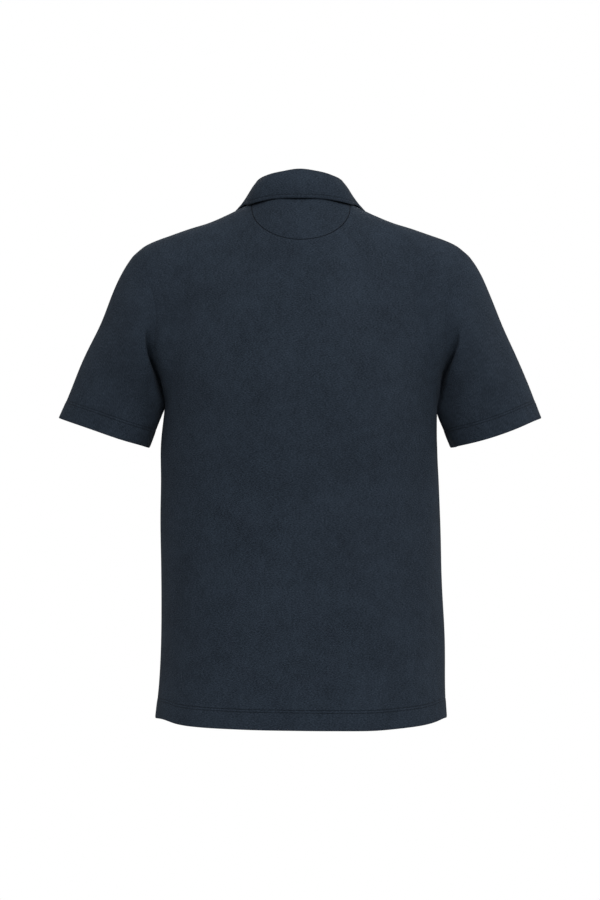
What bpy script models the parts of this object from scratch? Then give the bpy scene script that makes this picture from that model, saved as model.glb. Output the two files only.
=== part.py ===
"""A men's short-sleeve polo shirt in its worn form, with no wearer inside.

Metres, +Z up. The wearer faces -Y and +X is the wearer's left. The origin is at the middle of
the neck, level with the tops of the shoulders. Each cut and sewn piece is its own closed wall
of cloth, a seam gap away from the pieces that it is sewn to.

A panel is laid out by two numbers: "across" runs from -1 to 1, side to side, and "up" runs
from 0 at the hem to 1 at the underarm and to 2 at the shoulder seam and the neck.
"""

import math
from collections import namedtuple

import bmesh
import bpy
import numpy as np
from mathutils import Matrix, Vector

# Cloth
KNIT = 0.0015                # wall of the body and the sleeves
COLLAR_KNIT = 0.0020         # two plies of knit
SEAM_GAP = 0.0003            # between two pieces that are sewn together

# Body
SECTION_POWER = 2.1          # 2 would be an ellipse
UNDERARM_LEVEL = -0.272
Section = namedtuple("Section", "level half_width back front")
BODY = [
    Section(level=-0.700, half_width=0.2014, back=0.140, front=0.138),
    Section(level=-0.655, half_width=0.1981, back=0.134, front=0.137),
    Section(level=-0.595, half_width=0.1960, back=0.129, front=0.138),
    Section(level=-0.500, half_width=0.1947, back=0.124, front=0.140),
    Section(level=-0.400, half_width=0.1933, back=0.124, front=0.144),
    Section(level=-0.330, half_width=0.1918, back=0.129, front=0.148),
    Section(level=UNDERARM_LEVEL, half_width=0.1892, back=0.134, front=0.150),
]

# Shoulder seam, from the neck to the head of the sleeve
Shoulder = namedtuple("Shoulder", "out level")
SHOULDER = [
    Shoulder(out=0.068, level=0.0140),
    Shoulder(out=0.098, level=-0.0010),
    Shoulder(out=0.126, level=-0.0130),
    Shoulder(out=0.154, level=-0.0220),
    Shoulder(out=0.180, level=-0.0310),
    Shoulder(out=0.200, level=-0.0382),
    Shoulder(out=0.216, level=-0.0462),
    Shoulder(out=0.230, level=-0.0580),
]
SLEEVE_HEAD_SLOPE = (0.67, 0.0, -0.74)

# Neck seam
NECK_HALF_WIDTH = SHOULDER[0].out
NECK_LEVEL = SHOULDER[0].level
NECK_SHARE = 0.354           # share of a panel's half, across, that the neck takes
BACK_NECK = (0.0, 0.066, 0.016)
FRONT_NECK = (0.0, -0.080, -0.068)

# How the cloth leaves the underarm level and reaches the neck and the shoulder seam
Fall = namedtuple("Fall", "neck_run neck_rise shoulder_run armhole_run armhole_bow")
BACK_FALL = Fall(neck_run=0.10, neck_rise=0.15, shoulder_run=0.24, armhole_run=0.26, armhole_bow=0.017)
FRONT_FALL = Fall(neck_run=0.08, neck_rise=0.12, shoulder_run=0.24, armhole_run=0.25, armhole_bow=0.022)
NECK_SLOPE = (-0.89, 0.0, 0.45)  # up the shoulder seam, at the neck
NECK_SWING = 45.0            # degrees that the rows there turn towards the neck
NECK_SWING_REACH = 0.35      # share across in which they turn back
ARMHOLE_SHARE = 0.62         # share across from which the rows start to turn into the armhole
ARMHOLE_RISE = 0.47          # how steeply the armhole leaves the underarm, of a plain row

# Sleeves
CUFF_CENTRE = (0.2732, -0.012, -0.3052)
CUFF_HALF_WIDTH = 0.0673
CUFF_HALF_DEPTH = 0.0620
ARM_TILT = math.radians(18.0)    # of the cuff
ARM_LEAN = math.radians(23.5)    # of the arm, from straight down
HEAD_PULL = 0.115            # how far the sleeve keeps the shoulder's slope
SIDE_PULL = (0.130, 0.030, -0.070)
UNDERARM_PULL = (0.012, 0.000, 0.010)
CUFF_PULL_OUTER = 0.25
CUFF_PULL_INNER = 0.055

# Collar: a row for each section, by its turn round the neck from the back
ROLL_RADIUS = 0.004
ROLL_END = math.radians(20.0)
LEAF_BOW = 0.0040
LEAF_CORE = 0.02             # a line this far inside the leaf's edge, to tell in from out
COLLAR_END = 176.5
Collar = namedtuple("Collar", "turn roll_x roll_y roll_z edge_x edge_y edge_z")
COLLAR = [
    Collar(0.0, 0.0000, 0.0600, 0.0535, 0.0000, 0.0785, 0.0115),
    Collar(45.0, 0.0425, 0.0430, 0.0485, 0.0600, 0.0560, 0.0085),
    Collar(90.0, 0.0515, 0.0020, 0.0440, 0.0795, 0.0050, 0.0115),
    Collar(108.0, 0.0515, -0.0220, 0.0285, 0.0915, -0.0190, 0.0005),
    Collar(125.0, 0.0490, -0.0410, 0.0080, 0.0940, -0.0460, -0.0195),
    Collar(155.0, 0.0260, -0.0670, -0.0255, 0.0785, -0.0840, -0.0650),
    Collar(COLLAR_END, 0.0045, -0.0760, -0.0360, 0.0530, -0.1025, -0.0955),
]

# Placket and buttons
PLACKET_WIDTH = 0.032        # at the neck
PLACKET_SHARE = NECK_SHARE * math.asin(PLACKET_WIDTH / 2 / NECK_HALF_WIDTH) / (math.pi / 2)
PLACKET_FOOT = 1.3           # its lower end, up the panel
PLACKET_LAP = 0.0031         # the upper strip covers the slit by this share across
BUTTON_RADIUS = 0.0057       # an 11.4 mm button
BUTTON_THICKNESS = 0.0026
BUTTON_HOLE_RADIUS = 0.0009
BUTTON_HOLE_PITCH = 0.0014
BUTTON_LIFT = 0.0008         # the slack of its thread
BUTTON_LEVELS = (-0.084, -0.131, -0.178)

# Half-moon patch inside the back neck
PATCH_HALF_WIDTH = 0.0675
PATCH_LEVEL = 0.004          # where its sides turn into the arc
PATCH_DROP = 0.050           # from there to its foot
PATCH_ROWS = 4               # of the panel's rows, from the neck down
PATCH_FOOT = 0.10            # the least share across that a row of it takes
PATCH_GAP = 0.0006           # to the back

# Grid lines of the panels
SIDE_COLUMNS = (0.45, 0.55, 0.65, 0.74, 0.82, 0.89, 0.95, 1.0)
BACK_COLUMNS = (0.07, 0.14, 0.21, 0.28, NECK_SHARE) + SIDE_COLUMNS
FRONT_COLUMNS = (PLACKET_SHARE, 0.12, 0.18, 0.24, 0.30, NECK_SHARE) + SIDE_COLUMNS
LOW_ROWS = 7
ARMHOLE_ROWS = 14
SLEEVE_ROWS = 8

NAVY = (0.026, 0.037, 0.050, 1.0)
BUTTON_NAVY = (0.018, 0.024, 0.034, 1.0)
TINY = 1e-6


# ---------------------------------------------------------------- curves

def through(rows, column, key, at):
    """A smooth curve through one column of a table, by its key column."""
    keys = [getattr(row, key) for row in rows]
    values = [getattr(row, column) for row in rows]
    last = len(rows) - 1
    i = max(0, min(last - 1, sum(1 for k in keys if k <= at) - 1))

    def slope(j):
        low, high = max(j - 1, 0), min(j + 1, last)
        return (values[high] - values[low]) / (keys[high] - keys[low])

    span = keys[i + 1] - keys[i]
    return hermite(values[i], slope(i) * span, values[i + 1], slope(i + 1) * span, (at - keys[i]) / span)


def hermite(start, leave, end, arrive, t):
    """The cubic from start to end that leaves and arrives with the given runs."""
    return (
        start * (2 * t**3 - 3 * t**2 + 1)
        + leave * (t**3 - 2 * t**2 + t)
        + end * (3 * t**2 - 2 * t**3)
        + arrive * (t**3 - t**2)
    )


def ease(low, high, at):
    """0 below low, 1 above high, and smooth between them."""
    t = max(0.0, min(1.0, (at - low) / (high - low)))
    return t * t * (3 - 2 * t)


def vec(x, y, z):
    return np.array((x, y, z), dtype=float)


def unit(vector):
    return vector / np.linalg.norm(vector)


def mirrored(point):
    return point * vec(-1, 1, 1)


# ---------------------------------------------------------------- body surface

def body_section(depth, across, level):
    """A point on the body's level section; depth is "back" or "front"."""
    half_width = through(BODY, "half_width", "level", level)
    reach = math.sin(math.radians(90.0 * across))
    bulge = max(0.0, 1.0 - reach**SECTION_POWER) ** (1.0 / SECTION_POWER)
    side = 1.0 if depth == "back" else -1.0
    return vec(half_width * reach, side * through(BODY, depth, "level", level) * bulge, level)


def panel_top(depth, across):
    """The panel's upper edge: the neck seam, then the shoulder seam."""
    if across >= NECK_SHARE:
        way = (across - NECK_SHARE) / (1.0 - NECK_SHARE)
        out = NECK_HALF_WIDTH + way * (SHOULDER[-1].out - NECK_HALF_WIDTH)
        return vec(out, 0.0, through(SHOULDER, "level", "out", out))
    if depth == "front" and across < PLACKET_SHARE:
        return panel_top(depth, PLACKET_SHARE) * vec(across / PLACKET_SHARE, 1.0, 1.0)
    turn = math.radians(90.0 * across / NECK_SHARE)
    middle = BACK_NECK if depth == "back" else FRONT_NECK
    drop = math.cos(turn) if depth == "back" else math.cos(turn) ** 1.25
    return vec(
        NECK_HALF_WIDTH * math.sin(turn),
        middle[1] * math.cos(turn),
        NECK_LEVEL + (middle[2] - NECK_LEVEL) * drop,
    )


def panel(depth, across, up):
    """A point on the outer face of the back or the front, before the seam gap."""
    mirror = across < 0
    across = abs(across)
    if up <= 1.0:
        low, high = BODY[0].level, UNDERARM_LEVEL
        point = body_section(depth, across, low + (high - low) * up)
        return mirrored(point) if mirror else point
    side = 1.0 if depth == "back" else -1.0
    fall = BACK_FALL if depth == "back" else FRONT_FALL
    start = body_section(depth, across, UNDERARM_LEVEL)
    end = panel_top(depth, across)
    height = end[2] - start[2]
    turn = ease(ARMHOLE_SHARE, 1.0, across)
    rise = (start - body_section(depth, across, UNDERARM_LEVEL - TINY)) / TINY
    inward = unit(body_section(depth, abs(across - TINY), UNDERARM_LEVEL) - start)
    leave = rise * height * (1.0 + (ARMHOLE_RISE - 1.0) * turn) + inward * fall.armhole_run * turn
    neck = math.cos(math.radians(90.0 * min(across / NECK_SHARE, 1.0)))
    swing = math.radians(NECK_SWING) * (1.0 - ease(NECK_SHARE, NECK_SHARE + NECK_SWING_REACH, across))
    over = (unit(vec(*NECK_SLOPE)) * math.sin(swing) - vec(0.0, side, 0.0) * math.cos(swing)) * fall.shoulder_run
    arrive = over * (1.0 - neck) + vec(0.0, -side * fall.neck_run, fall.neck_rise) * neck
    way = up - 1.0
    point = hermite(start, leave, end, arrive, way)
    point[0] -= fall.armhole_bow * turn * 16.0 * (way * (1.0 - way)) ** 2
    return mirrored(point) if mirror else point


def surface_normal(surface, a, b):
    """The unit normal of surface(a, b), from steps that stay on the surface."""
    here = surface(a, b)
    step_a = TINY if a < 1.0 - TINY else -TINY
    step_b = -TINY if b > TINY else TINY
    along_a = (surface(a + step_a, b) - here) / step_a
    along_b = (surface(a, b + step_b) - here) / step_b
    return unit(np.cross(unit(along_a), unit(along_b)))


def off_panel(depth, across, up, out):
    """A point of a panel moved out of its face, with the seam gap taken."""
    side = 1.0 if depth == "back" else -1.0
    point = panel(depth, across, up)
    normal = surface_normal(lambda a, b: panel(depth, a, b), across, up)
    if normal @ vec(point[0], side * BODY[0].front, 0.0) < 0:
        normal = -normal
    return point + normal * out + vec(0.0, side * SEAM_GAP / 2, 0.0)


# ---------------------------------------------------------------- sleeve surface

def armhole(turn):
    """A point on the armhole's edge; turn runs 0 to 1 from the shoulder, by the back."""
    if turn <= 0.5:
        return panel("back", 1.0, 2.0 - 2.0 * turn) + vec(0.0, SEAM_GAP / 2, 0.0)
    return panel("front", 1.0, 2.0 * turn) - vec(0.0, SEAM_GAP / 2, 0.0)


def armhole_outward(turn):
    """The way that the body's cloth points where it ends at the armhole."""
    depth, up = ("back", 2.0 - 2.0 * turn) if turn <= 0.5 else ("front", 2.0 * turn)
    if up > 2.0 - TINY:
        return unit(vec(*SLEEVE_HEAD_SLOPE))
    if up < 1.0 + TINY:
        return vec(0.0, 0.0, 1.0)
    edge = unit(panel(depth, 1.0, up) - panel(depth, 1.0, up - TINY))
    off = unit(panel(depth, 1.0, up) - panel(depth, 1.0 - TINY, up))
    return unit(off - edge * (off @ edge))


def sleeve(turn, down):
    """A point on the outer face of the left sleeve; down runs 0 to 1, armhole to cuff."""
    turn = turn % 1.0
    outer, back = math.cos(2 * math.pi * turn), math.sin(2 * math.pi * turn)
    start = armhole(turn) + armhole_outward(turn) * SEAM_GAP
    cuff_axis = vec(math.cos(ARM_TILT), 0.0, math.sin(ARM_TILT))
    end = vec(*CUFF_CENTRE) + cuff_axis * CUFF_HALF_WIDTH * outer + vec(0.0, CUFF_HALF_DEPTH * back, 0.0)
    head = unit(vec(*SLEEVE_HEAD_SLOPE)) * HEAD_PULL
    side = vec(*SIDE_PULL) * vec(1.0, back, 1.0)
    ends = head * ease(0.0, 1.0, outer) + vec(*UNDERARM_PULL) * ease(0.0, 1.0, -outer)
    leave = ends + side * (1.0 - ease(0.0, 1.0, abs(outer)))
    pull = (CUFF_PULL_OUTER + CUFF_PULL_INNER + (CUFF_PULL_OUTER - CUFF_PULL_INNER) * outer) / 2
    arrive = vec(math.sin(ARM_LEAN), 0.0, -math.cos(ARM_LEAN)) * pull
    return hermite(start, leave, end, arrive, down)


# ---------------------------------------------------------------- collar surface

def neck_seam(turn):
    """A point on the neck seam; turn runs 0 at the back to 180 at the front, in degrees."""
    side = -1.0 if turn < 0 else 1.0
    turn = abs(turn)
    depth, share = ("back", turn / 90.0) if turn <= 90.0 else ("front", 2.0 - turn / 90.0)
    gap = SEAM_GAP / 2 if depth == "back" else -SEAM_GAP / 2
    point = panel_top(depth, share * NECK_SHARE) + vec(0.0, gap, 0.0)
    return point * vec(side, 1.0, 1.0)


def collar_row(turn):
    """The roll's middle, the leaf's lower edge and the way out, at a turn round the neck."""
    side = -1.0 if turn < 0 else 1.0
    at = {name: through(COLLAR, name, "turn", abs(turn)) for name in Collar._fields[1:]}
    roll = vec(side * at["roll_x"], at["roll_y"], at["roll_z"] - ROLL_RADIUS)
    edge = vec(side * at["edge_x"], at["edge_y"], at["edge_z"])
    out = unit((edge - roll) * vec(1.0, 1.0, 0.0))
    return roll, edge, out


def collar_leaf(turn, down):
    """A point on the leaf's outer face: down 0 to 0.5 is the roll, 0.5 to 1 the fall."""
    roll, edge, out = collar_row(turn)
    top = vec(0.0, 0.0, 1.0)
    angle = math.pi + (ROLL_END - math.pi) * min(down / 0.5, 1.0)
    point = roll + (out * math.cos(angle) + top * math.sin(angle)) * ROLL_RADIUS
    if down <= 0.5:
        return point
    way = (down - 0.5) / 0.5
    line = edge - point
    bow = unit(out * -line[2] + top * (line @ out))
    return point + line * way + bow * LEAF_BOW * 4 * way * (1 - way)


def collar_stand(turn, up):
    """A point on the stand's outer face; up runs 0 to 1 from the neck seam to the roll."""
    roll, _, out = collar_row(turn)
    low = neck_seam(turn) + vec(0.0, 0.0, SEAM_GAP)
    high = roll - out * (ROLL_RADIUS - COLLAR_KNIT) - vec(0.0, 0.0, SEAM_GAP)
    return low + (high - low) * up


# ---------------------------------------------------------------- solids

def finish(bm, name, colour, roughness):
    """Turns a bmesh into a named object with its own material."""
    bmesh.ops.recalc_face_normals(bm, faces=bm.faces)
    mesh = bpy.data.meshes.new(name)
    bm.to_mesh(mesh)
    bm.free()
    material = bpy.data.materials.new(name + "_finish")
    material.use_nodes = True
    shader = material.node_tree.nodes["Principled BSDF"]
    shader.inputs["Base Color"].default_value = colour
    shader.inputs["Roughness"].default_value = roughness
    shader.inputs["Metallic"].default_value = 0.0
    mesh.materials.append(material)
    mesh.shade_smooth()
    mesh.set_sharp_from_angle(angle=math.radians(40.0))
    obj = bpy.data.objects.new(name, mesh)
    bpy.context.scene.collection.objects.link(obj)
    return obj


def cloth_wall(name, faces, columns, rows, closed=False, cut_away=None):
    """A closed wall; faces(a, b) gives its outer and inner point for a column and a row."""
    bm = bmesh.new()
    bmesh.ops.create_grid(bm, x_segments=len(columns) - 1, y_segments=len(rows) - 1, size=0.5)
    number = bm.verts.layers.int.new("number")
    pairs = []
    for vert in bm.verts:
        column = round((vert.co.x + 0.5) * (len(columns) - 1))
        row = round((vert.co.y + 0.5) * (len(rows) - 1))
        vert[number] = len(pairs)
        pairs.append((columns[column], rows[row]))
    if cut_away:
        def in_cut(face):
            return all(cut_away(*pairs[vert[number]]) for vert in face.verts)
        bmesh.ops.delete(bm, geom=[face for face in bm.faces if in_cut(face)], context="FACES")
    sides = [faces(a, b) for a, b in pairs]
    for vert in bm.verts:
        vert.co = sides[vert[number]][0]
    if closed:
        bmesh.ops.remove_doubles(bm, verts=bm.verts, dist=TINY)
    made = bmesh.ops.extrude_face_region(bm, geom=bm.faces[:], use_keep_orig=True)
    for vert in made["geom"]:
        if isinstance(vert, bmesh.types.BMVert):
            vert.co = sides[vert[number]][1]
    return finish(bm, name, NAVY, 0.85)


def both_ways(half):
    """The grid lines of both halves of a panel, without the middle one."""
    return [-a for a in reversed(half)] + list(half)


def panel_rows():
    low = [i / LOW_ROWS for i in range(LOW_ROWS)]
    return low + [1.0 + i / ARMHOLE_ROWS for i in range(ARMHOLE_ROWS + 1)]


def panel_faces(depth, out, thickness):
    return lambda across, up: (off_panel(depth, across, up, out), off_panel(depth, across, up, out - thickness))


def make_back():
    columns = [-a for a in reversed(BACK_COLUMNS)] + [0.0] + list(BACK_COLUMNS)
    return cloth_wall("back", panel_faces("back", 0.0, KNIT), columns, panel_rows())


def placket_foot():
    """The panel row on which the placket's slit ends."""
    return min(panel_rows(), key=lambda up: abs(up - PLACKET_FOOT))


def make_front():
    foot = placket_foot()

    def slit(across, up):
        return abs(across) < PLACKET_SHARE + TINY and up > foot - TINY

    columns = both_ways(FRONT_COLUMNS)
    return cloth_wall("front", panel_faces("front", 0.0, KNIT), columns, panel_rows(), cut_away=slit)


def make_plackets():
    rows = [up for up in panel_rows() if up > placket_foot() - TINY]
    gap_across = SEAM_GAP / (NECK_HALF_WIDTH / NECK_SHARE * math.pi / 2)
    inside = PLACKET_SHARE - gap_across
    under_rows = [rows[0] + gap_across] + rows[1:]
    cloth_wall("placket_under", panel_faces("front", 0.0, KNIT), [-inside, inside], under_rows)
    outside = PLACKET_SHARE + PLACKET_LAP
    columns = [-outside, -PLACKET_SHARE, PLACKET_SHARE, outside]
    upper_rows = [rows[0] - PLACKET_LAP] + rows
    cloth_wall("placket_upper", panel_faces("front", SEAM_GAP + KNIT, KNIT), columns, upper_rows)


def sleeve_faces(mirror):
    def faces(turn, down):
        point = sleeve(turn, down)
        around = sleeve(turn + TINY, down) - sleeve(turn - TINY, down)
        step = -TINY if down > TINY else TINY
        along = (sleeve(turn, down + step) - point) / step
        inward = unit(np.cross(around, along)) * KNIT
        pair = (point, point + inward)
        return tuple(mirrored(p) for p in pair) if mirror else pair
    return faces


def make_sleeves():
    turns = [i / (2 * ARMHOLE_ROWS) for i in range(2 * ARMHOLE_ROWS + 1)]
    downs = [(i / SLEEVE_ROWS) ** 1.2 for i in range(SLEEVE_ROWS + 1)]
    for name, mirror in (("sleeve_left", False), ("sleeve_right", True)):
        cloth_wall(name, sleeve_faces(mirror), turns, downs, closed=True)


def collar_turns():
    back = [90.0 * a / NECK_SHARE for a in BACK_COLUMNS if a <= NECK_SHARE]
    front = [180.0 - 90.0 * a / NECK_SHARE for a in reversed(FRONT_COLUMNS) if PLACKET_SHARE < a < NECK_SHARE]
    half = back + front + [180.0 - 90.0 * PLACKET_SHARE / NECK_SHARE, COLLAR_END]
    return [-t for t in reversed(half)] + [0.0] + half


def make_collar():
    def stand_faces(turn, up):
        point = collar_stand(turn, up)
        _, _, out = collar_row(turn)
        return point, point - out * COLLAR_KNIT

    def leaf_faces(turn, down):
        point = collar_leaf(turn, down)
        normal = surface_normal(collar_leaf, turn, down)
        roll, edge, out = collar_row(turn)
        inside = roll + (edge - out * LEAF_CORE - roll) * max(0.0, (down - 0.5) / 0.5)
        if normal @ (inside - point) < 0:
            normal = -normal
        return point, point + normal * COLLAR_KNIT

    cloth_wall("collar_stand", stand_faces, collar_turns(), [0.0, 0.33, 0.67, 1.0])
    downs = [0.0, 0.125, 0.25, 0.375, 0.5, 0.62, 0.74, 0.87, 1.0]
    cloth_wall("collar_leaf", leaf_faces, collar_turns(), downs)


def make_patch():
    """The half-moon, on the back's own grid lines, moved in; each row stops at its arc."""
    rows = panel_rows()[-1 - PATCH_ROWS:]
    columns = [a for a in BACK_COLUMNS if a < NECK_SHARE + TINY]
    grid = [-a for a in reversed(columns)] + [0.0] + columns

    def reach(up):
        low, high = PATCH_FOOT, NECK_SHARE
        for _ in range(30):
            middle = (low + high) / 2
            x, _, z = panel("back", middle, up)
            if math.hypot(x / PATCH_HALF_WIDTH, max(0.0, PATCH_LEVEL - z) / PATCH_DROP) < 1.0:
                low = middle
            else:
                high = middle
        return low

    def faces(across, up):
        stop = max(-reach(up), min(reach(up), across))
        low = max((a for a in grid if a <= stop + TINY), default=grid[0])
        high = min((a for a in grid if a >= stop - TINY), default=grid[-1])
        way = (stop - low) / (high - low) if high > low + TINY else 0.0
        pair = []
        for out in (-(KNIT + PATCH_GAP), -(2 * KNIT + PATCH_GAP)):
            ends = [off_panel("back", a, up, out) for a in (low, high)]
            pair.append(ends[0] + (ends[1] - ends[0]) * way)
        return pair

    cloth_wall("neck_patch", faces, grid, rows, closed=True)


def panel_height(depth, level):
    """How far up the middle of a panel a level lies."""
    low, high = 1.0, 2.0
    for _ in range(40):
        middle = (low + high) / 2
        if panel(depth, 0.0, middle)[2] < level:
            low = middle
        else:
            high = middle
    return low


def make_button(name, level):
    """A four-hole button turned from its half profile, lying on the upper placket."""
    bm = bmesh.new()
    radius, thick = BUTTON_RADIUS, BUTTON_THICKNESS
    profile = [(0.0, 0.0), (0.85, 0.0), (1.0, 0.30), (1.0, 0.75), (0.85, 1.0), (0.65, 0.70), (0.0, 0.70)]
    verts = [bm.verts.new((share * radius, 0.0, rise * thick)) for share, rise in profile]
    edges = [bm.edges.new(pair) for pair in zip(verts, verts[1:])]
    bmesh.ops.spin(
        bm, geom=verts + edges, cent=(0, 0, 0), axis=(0, 0, 1), angle=2 * math.pi, steps=16, use_merge=True
    )
    bmesh.ops.remove_doubles(bm, verts=bm.verts, dist=TINY)
    button = finish(bm, name, BUTTON_NAVY, 0.35)

    cutter_bm = bmesh.new()
    for x in (-BUTTON_HOLE_PITCH, BUTTON_HOLE_PITCH):
        for y in (-BUTTON_HOLE_PITCH, BUTTON_HOLE_PITCH):
            bmesh.ops.create_cone(
                cutter_bm, cap_ends=True, segments=8, radius1=BUTTON_HOLE_RADIUS, radius2=BUTTON_HOLE_RADIUS,
                depth=4 * thick, matrix=Matrix.Translation((x, y, thick / 2)),
            )
    cutter = finish(cutter_bm, name + "_holes", BUTTON_NAVY, 0.35)
    cutter.hide_render = True
    cutter.display_type = "WIRE"
    cutter.parent = button
    holes = button.modifiers.new("holes", "BOOLEAN")
    holes.object = cutter
    holes.operation = "DIFFERENCE"

    up = panel_height("front", level)
    seat = off_panel("front", 0.0, up, SEAM_GAP + KNIT + BUTTON_LIFT)
    normal = Vector(off_panel("front", 0.0, up, 1.0) - off_panel("front", 0.0, up, 0.0))
    button.matrix_world = Matrix.Translation(seat) @ normal.to_track_quat("Z", "Y").to_matrix().to_4x4()
    return button


def main():
    for obj in list(bpy.data.objects):
        bpy.data.objects.remove(obj, do_unlink=True)
    make_back()
    make_front()
    make_plackets()
    make_sleeves()
    make_collar()
    make_patch()
    for number, level in enumerate(BUTTON_LEVELS, start=1):
        make_button(f"button_{number}", level)


main()
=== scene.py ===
"""A knitted short-sleeve polo shirt in its worn form, with its stitches, folds and finishes.

Metres, +Z up. The wearer faces -Y and +X is the wearer's left. A panel is laid out by two
numbers: "across" runs from -1 to 1, side to side, and "up" from 0 at the hem to 1 at the
underarm and to 2 at the shoulder seam and the neck. All surface functions take numpy arrays.
"""

import math
from collections import namedtuple
from functools import partial

import bmesh
import bpy
import numpy as np
from bpy.props import FloatProperty, FloatVectorProperty, PointerProperty
from mathutils import Matrix, Vector


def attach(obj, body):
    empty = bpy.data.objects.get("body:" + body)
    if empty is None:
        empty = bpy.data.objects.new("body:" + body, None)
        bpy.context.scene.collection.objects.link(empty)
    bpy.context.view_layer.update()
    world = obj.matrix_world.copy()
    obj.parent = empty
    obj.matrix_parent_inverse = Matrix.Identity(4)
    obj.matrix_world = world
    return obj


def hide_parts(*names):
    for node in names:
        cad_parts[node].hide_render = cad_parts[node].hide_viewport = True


bl_info = {
    "name": "Knitted Polo Shirt",
    "version": (1, 0, 0),
    "blender": (4, 5, 0),
    "location": "View3D > Sidebar > Polo Shirt",
    "description": "Builds a short-sleeve polo shirt in its worn form",
    "category": "Object",
}

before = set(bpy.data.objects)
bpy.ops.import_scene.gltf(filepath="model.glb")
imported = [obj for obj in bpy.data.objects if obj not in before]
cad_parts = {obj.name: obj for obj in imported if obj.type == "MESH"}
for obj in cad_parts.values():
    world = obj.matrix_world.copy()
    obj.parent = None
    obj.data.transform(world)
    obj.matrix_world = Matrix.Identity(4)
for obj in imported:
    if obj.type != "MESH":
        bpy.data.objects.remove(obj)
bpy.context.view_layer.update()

# ---------------------------------------------------------------- sizes of the cut

KNIT = 0.0012                # one ply of the body's knit
COLLAR_KNIT = 0.0020         # two plies of the collar's
SEAM_GAP = 0.00005           # between pieces whose edges meet
TINY = 1e-6

SECTION_POWER = 2.1
UNDERARM_LEVEL = -0.272
HEM_LEVEL = -0.700
Section = namedtuple("Section", "level half_width back front")
BODY = [
    Section(level=HEM_LEVEL, half_width=0.2014, back=0.140, front=0.138),
    Section(level=-0.655, half_width=0.1981, back=0.134, front=0.137),
    Section(level=-0.595, half_width=0.1960, back=0.129, front=0.138),
    Section(level=-0.500, half_width=0.1947, back=0.124, front=0.140),
    Section(level=-0.400, half_width=0.1933, back=0.124, front=0.144),
    Section(level=-0.330, half_width=0.1918, back=0.129, front=0.148),
    Section(level=UNDERARM_LEVEL, half_width=0.1892, back=0.134, front=0.150),
]

Shoulder = namedtuple("Shoulder", "out level")
SHOULDER = [
    Shoulder(out=0.068, level=0.0140),
    Shoulder(out=0.098, level=-0.0010),
    Shoulder(out=0.126, level=-0.0130),
    Shoulder(out=0.154, level=-0.0220),
    Shoulder(out=0.180, level=-0.0310),
    Shoulder(out=0.200, level=-0.0382),
    Shoulder(out=0.216, level=-0.0462),
    Shoulder(out=0.230, level=-0.0580),
]
SLEEVE_HEAD_SLOPE = (0.67, 0.0, -0.74)

NECK_HALF_WIDTH = SHOULDER[0].out
NECK_LEVEL = SHOULDER[0].level
NECK_SHARE = 0.354           # of a panel's half width, at its top
BACK_NECK = (0.0, 0.066, 0.016)
FRONT_NECK = (0.0, -0.080, -0.068)
FRONT_NECK_POWER = 1.25
Fall = namedtuple("Fall", "neck_run neck_rise shoulder_run armhole_run armhole_bow")
FALLS = {
    "back": Fall(neck_run=0.10, neck_rise=0.15, shoulder_run=0.24, armhole_run=0.26, armhole_bow=0.017),
    "front": Fall(neck_run=0.08, neck_rise=0.12, shoulder_run=0.24, armhole_run=0.25, armhole_bow=0.022),
}
NECK_SLOPE = (-0.89, 0.0, 0.45)
NECK_SWING = math.radians(45.0)
NECK_SWING_REACH = 0.35
EVEN_REACH = 0.12            # of the half width, for a step of 1 to the side
EVEN_FOOT = 0.35             # of "up", over which the evening sets in above the underarm
EVEN_HEAD = 0.15             # of "up", over which it fades below the shoulder seam
EVEN_STEPS = (-2.0, -1.5, -1.0, -0.5, 0.0, 0.5, 1.0, 1.5, 2.0)
ARMHOLE_SHARE = 0.62         # of the half width, where the cloth turns in to the armhole
ARMHOLE_RISE = 0.47

CUFF_CENTRE = (0.2732, -0.012, -0.3052)
CUFF_HALF_WIDTH = 0.0673
CUFF_HALF_DEPTH = 0.0620
ARM_TILT = math.radians(18.0)
ARM_LEAN = math.radians(23.5)
HEAD_PULL = 0.115
SIDE_PULL = (0.130, 0.030, -0.070)
UNDERARM_PULL = (0.006, 0.000, -0.010)
CUFF_PULL_OUTER = 0.25
CUFF_PULL_INNER = 0.055

ROLL_RADIUS = 0.004
ROLL_END = math.radians(20.0)
LEAF_BOW = 0.0040
SIDE_FLATNESS = 0.5          # of that bow, which the leaf loses round the turn below
SIDE_TURN = 98.0
SIDE_REACH = 26.0
STAND_TUCK = 0.0006          # of the stand's lower edge into the neck seam
ARMHOLE_TUCK = 0.0002        # of the sleeve's head into the armhole seam
SIDE_TUCK = 0.0001           # of each panel past the middle of the side seam
COLLAR_END = 176.5
Collar = namedtuple("Collar", "turn roll_x roll_y roll_z edge_x edge_y edge_z")
COLLAR = [
    Collar(0.0, 0.0000, 0.0600, 0.0535, 0.0000, 0.0728, 0.0124),
    Collar(27.0, 0.0239, 0.0537, 0.0508, 0.0360, 0.0618, 0.0123),
    Collar(45.0, 0.0396, 0.0465, 0.0481, 0.0588, 0.0503, 0.0096),
    Collar(68.0, 0.0536, 0.0252, 0.0450, 0.0714, 0.0316, 0.0084),
    Collar(90.0, 0.0592, 0.0020, 0.0410, 0.0790, 0.0045, 0.0109),
    Collar(98.0, 0.0579, -0.0085, 0.0360, 0.0862, -0.0060, 0.0069),
    Collar(108.0, 0.0545, -0.0220, 0.0285, 0.0932, -0.0190, 0.0012),
    Collar(125.0, 0.0490, -0.0410, 0.0080, 0.0940, -0.0460, -0.0195),
    Collar(155.0, 0.0260, -0.0670, -0.0255, 0.0785, -0.0840, -0.0650),
    Collar(COLLAR_END, 0.0045, -0.0760, -0.0360, 0.0530, -0.1025, -0.0955),
]
BESIDE = COLLAR[1]           # and its twin past the middle, so that the curves cross it level
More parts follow.
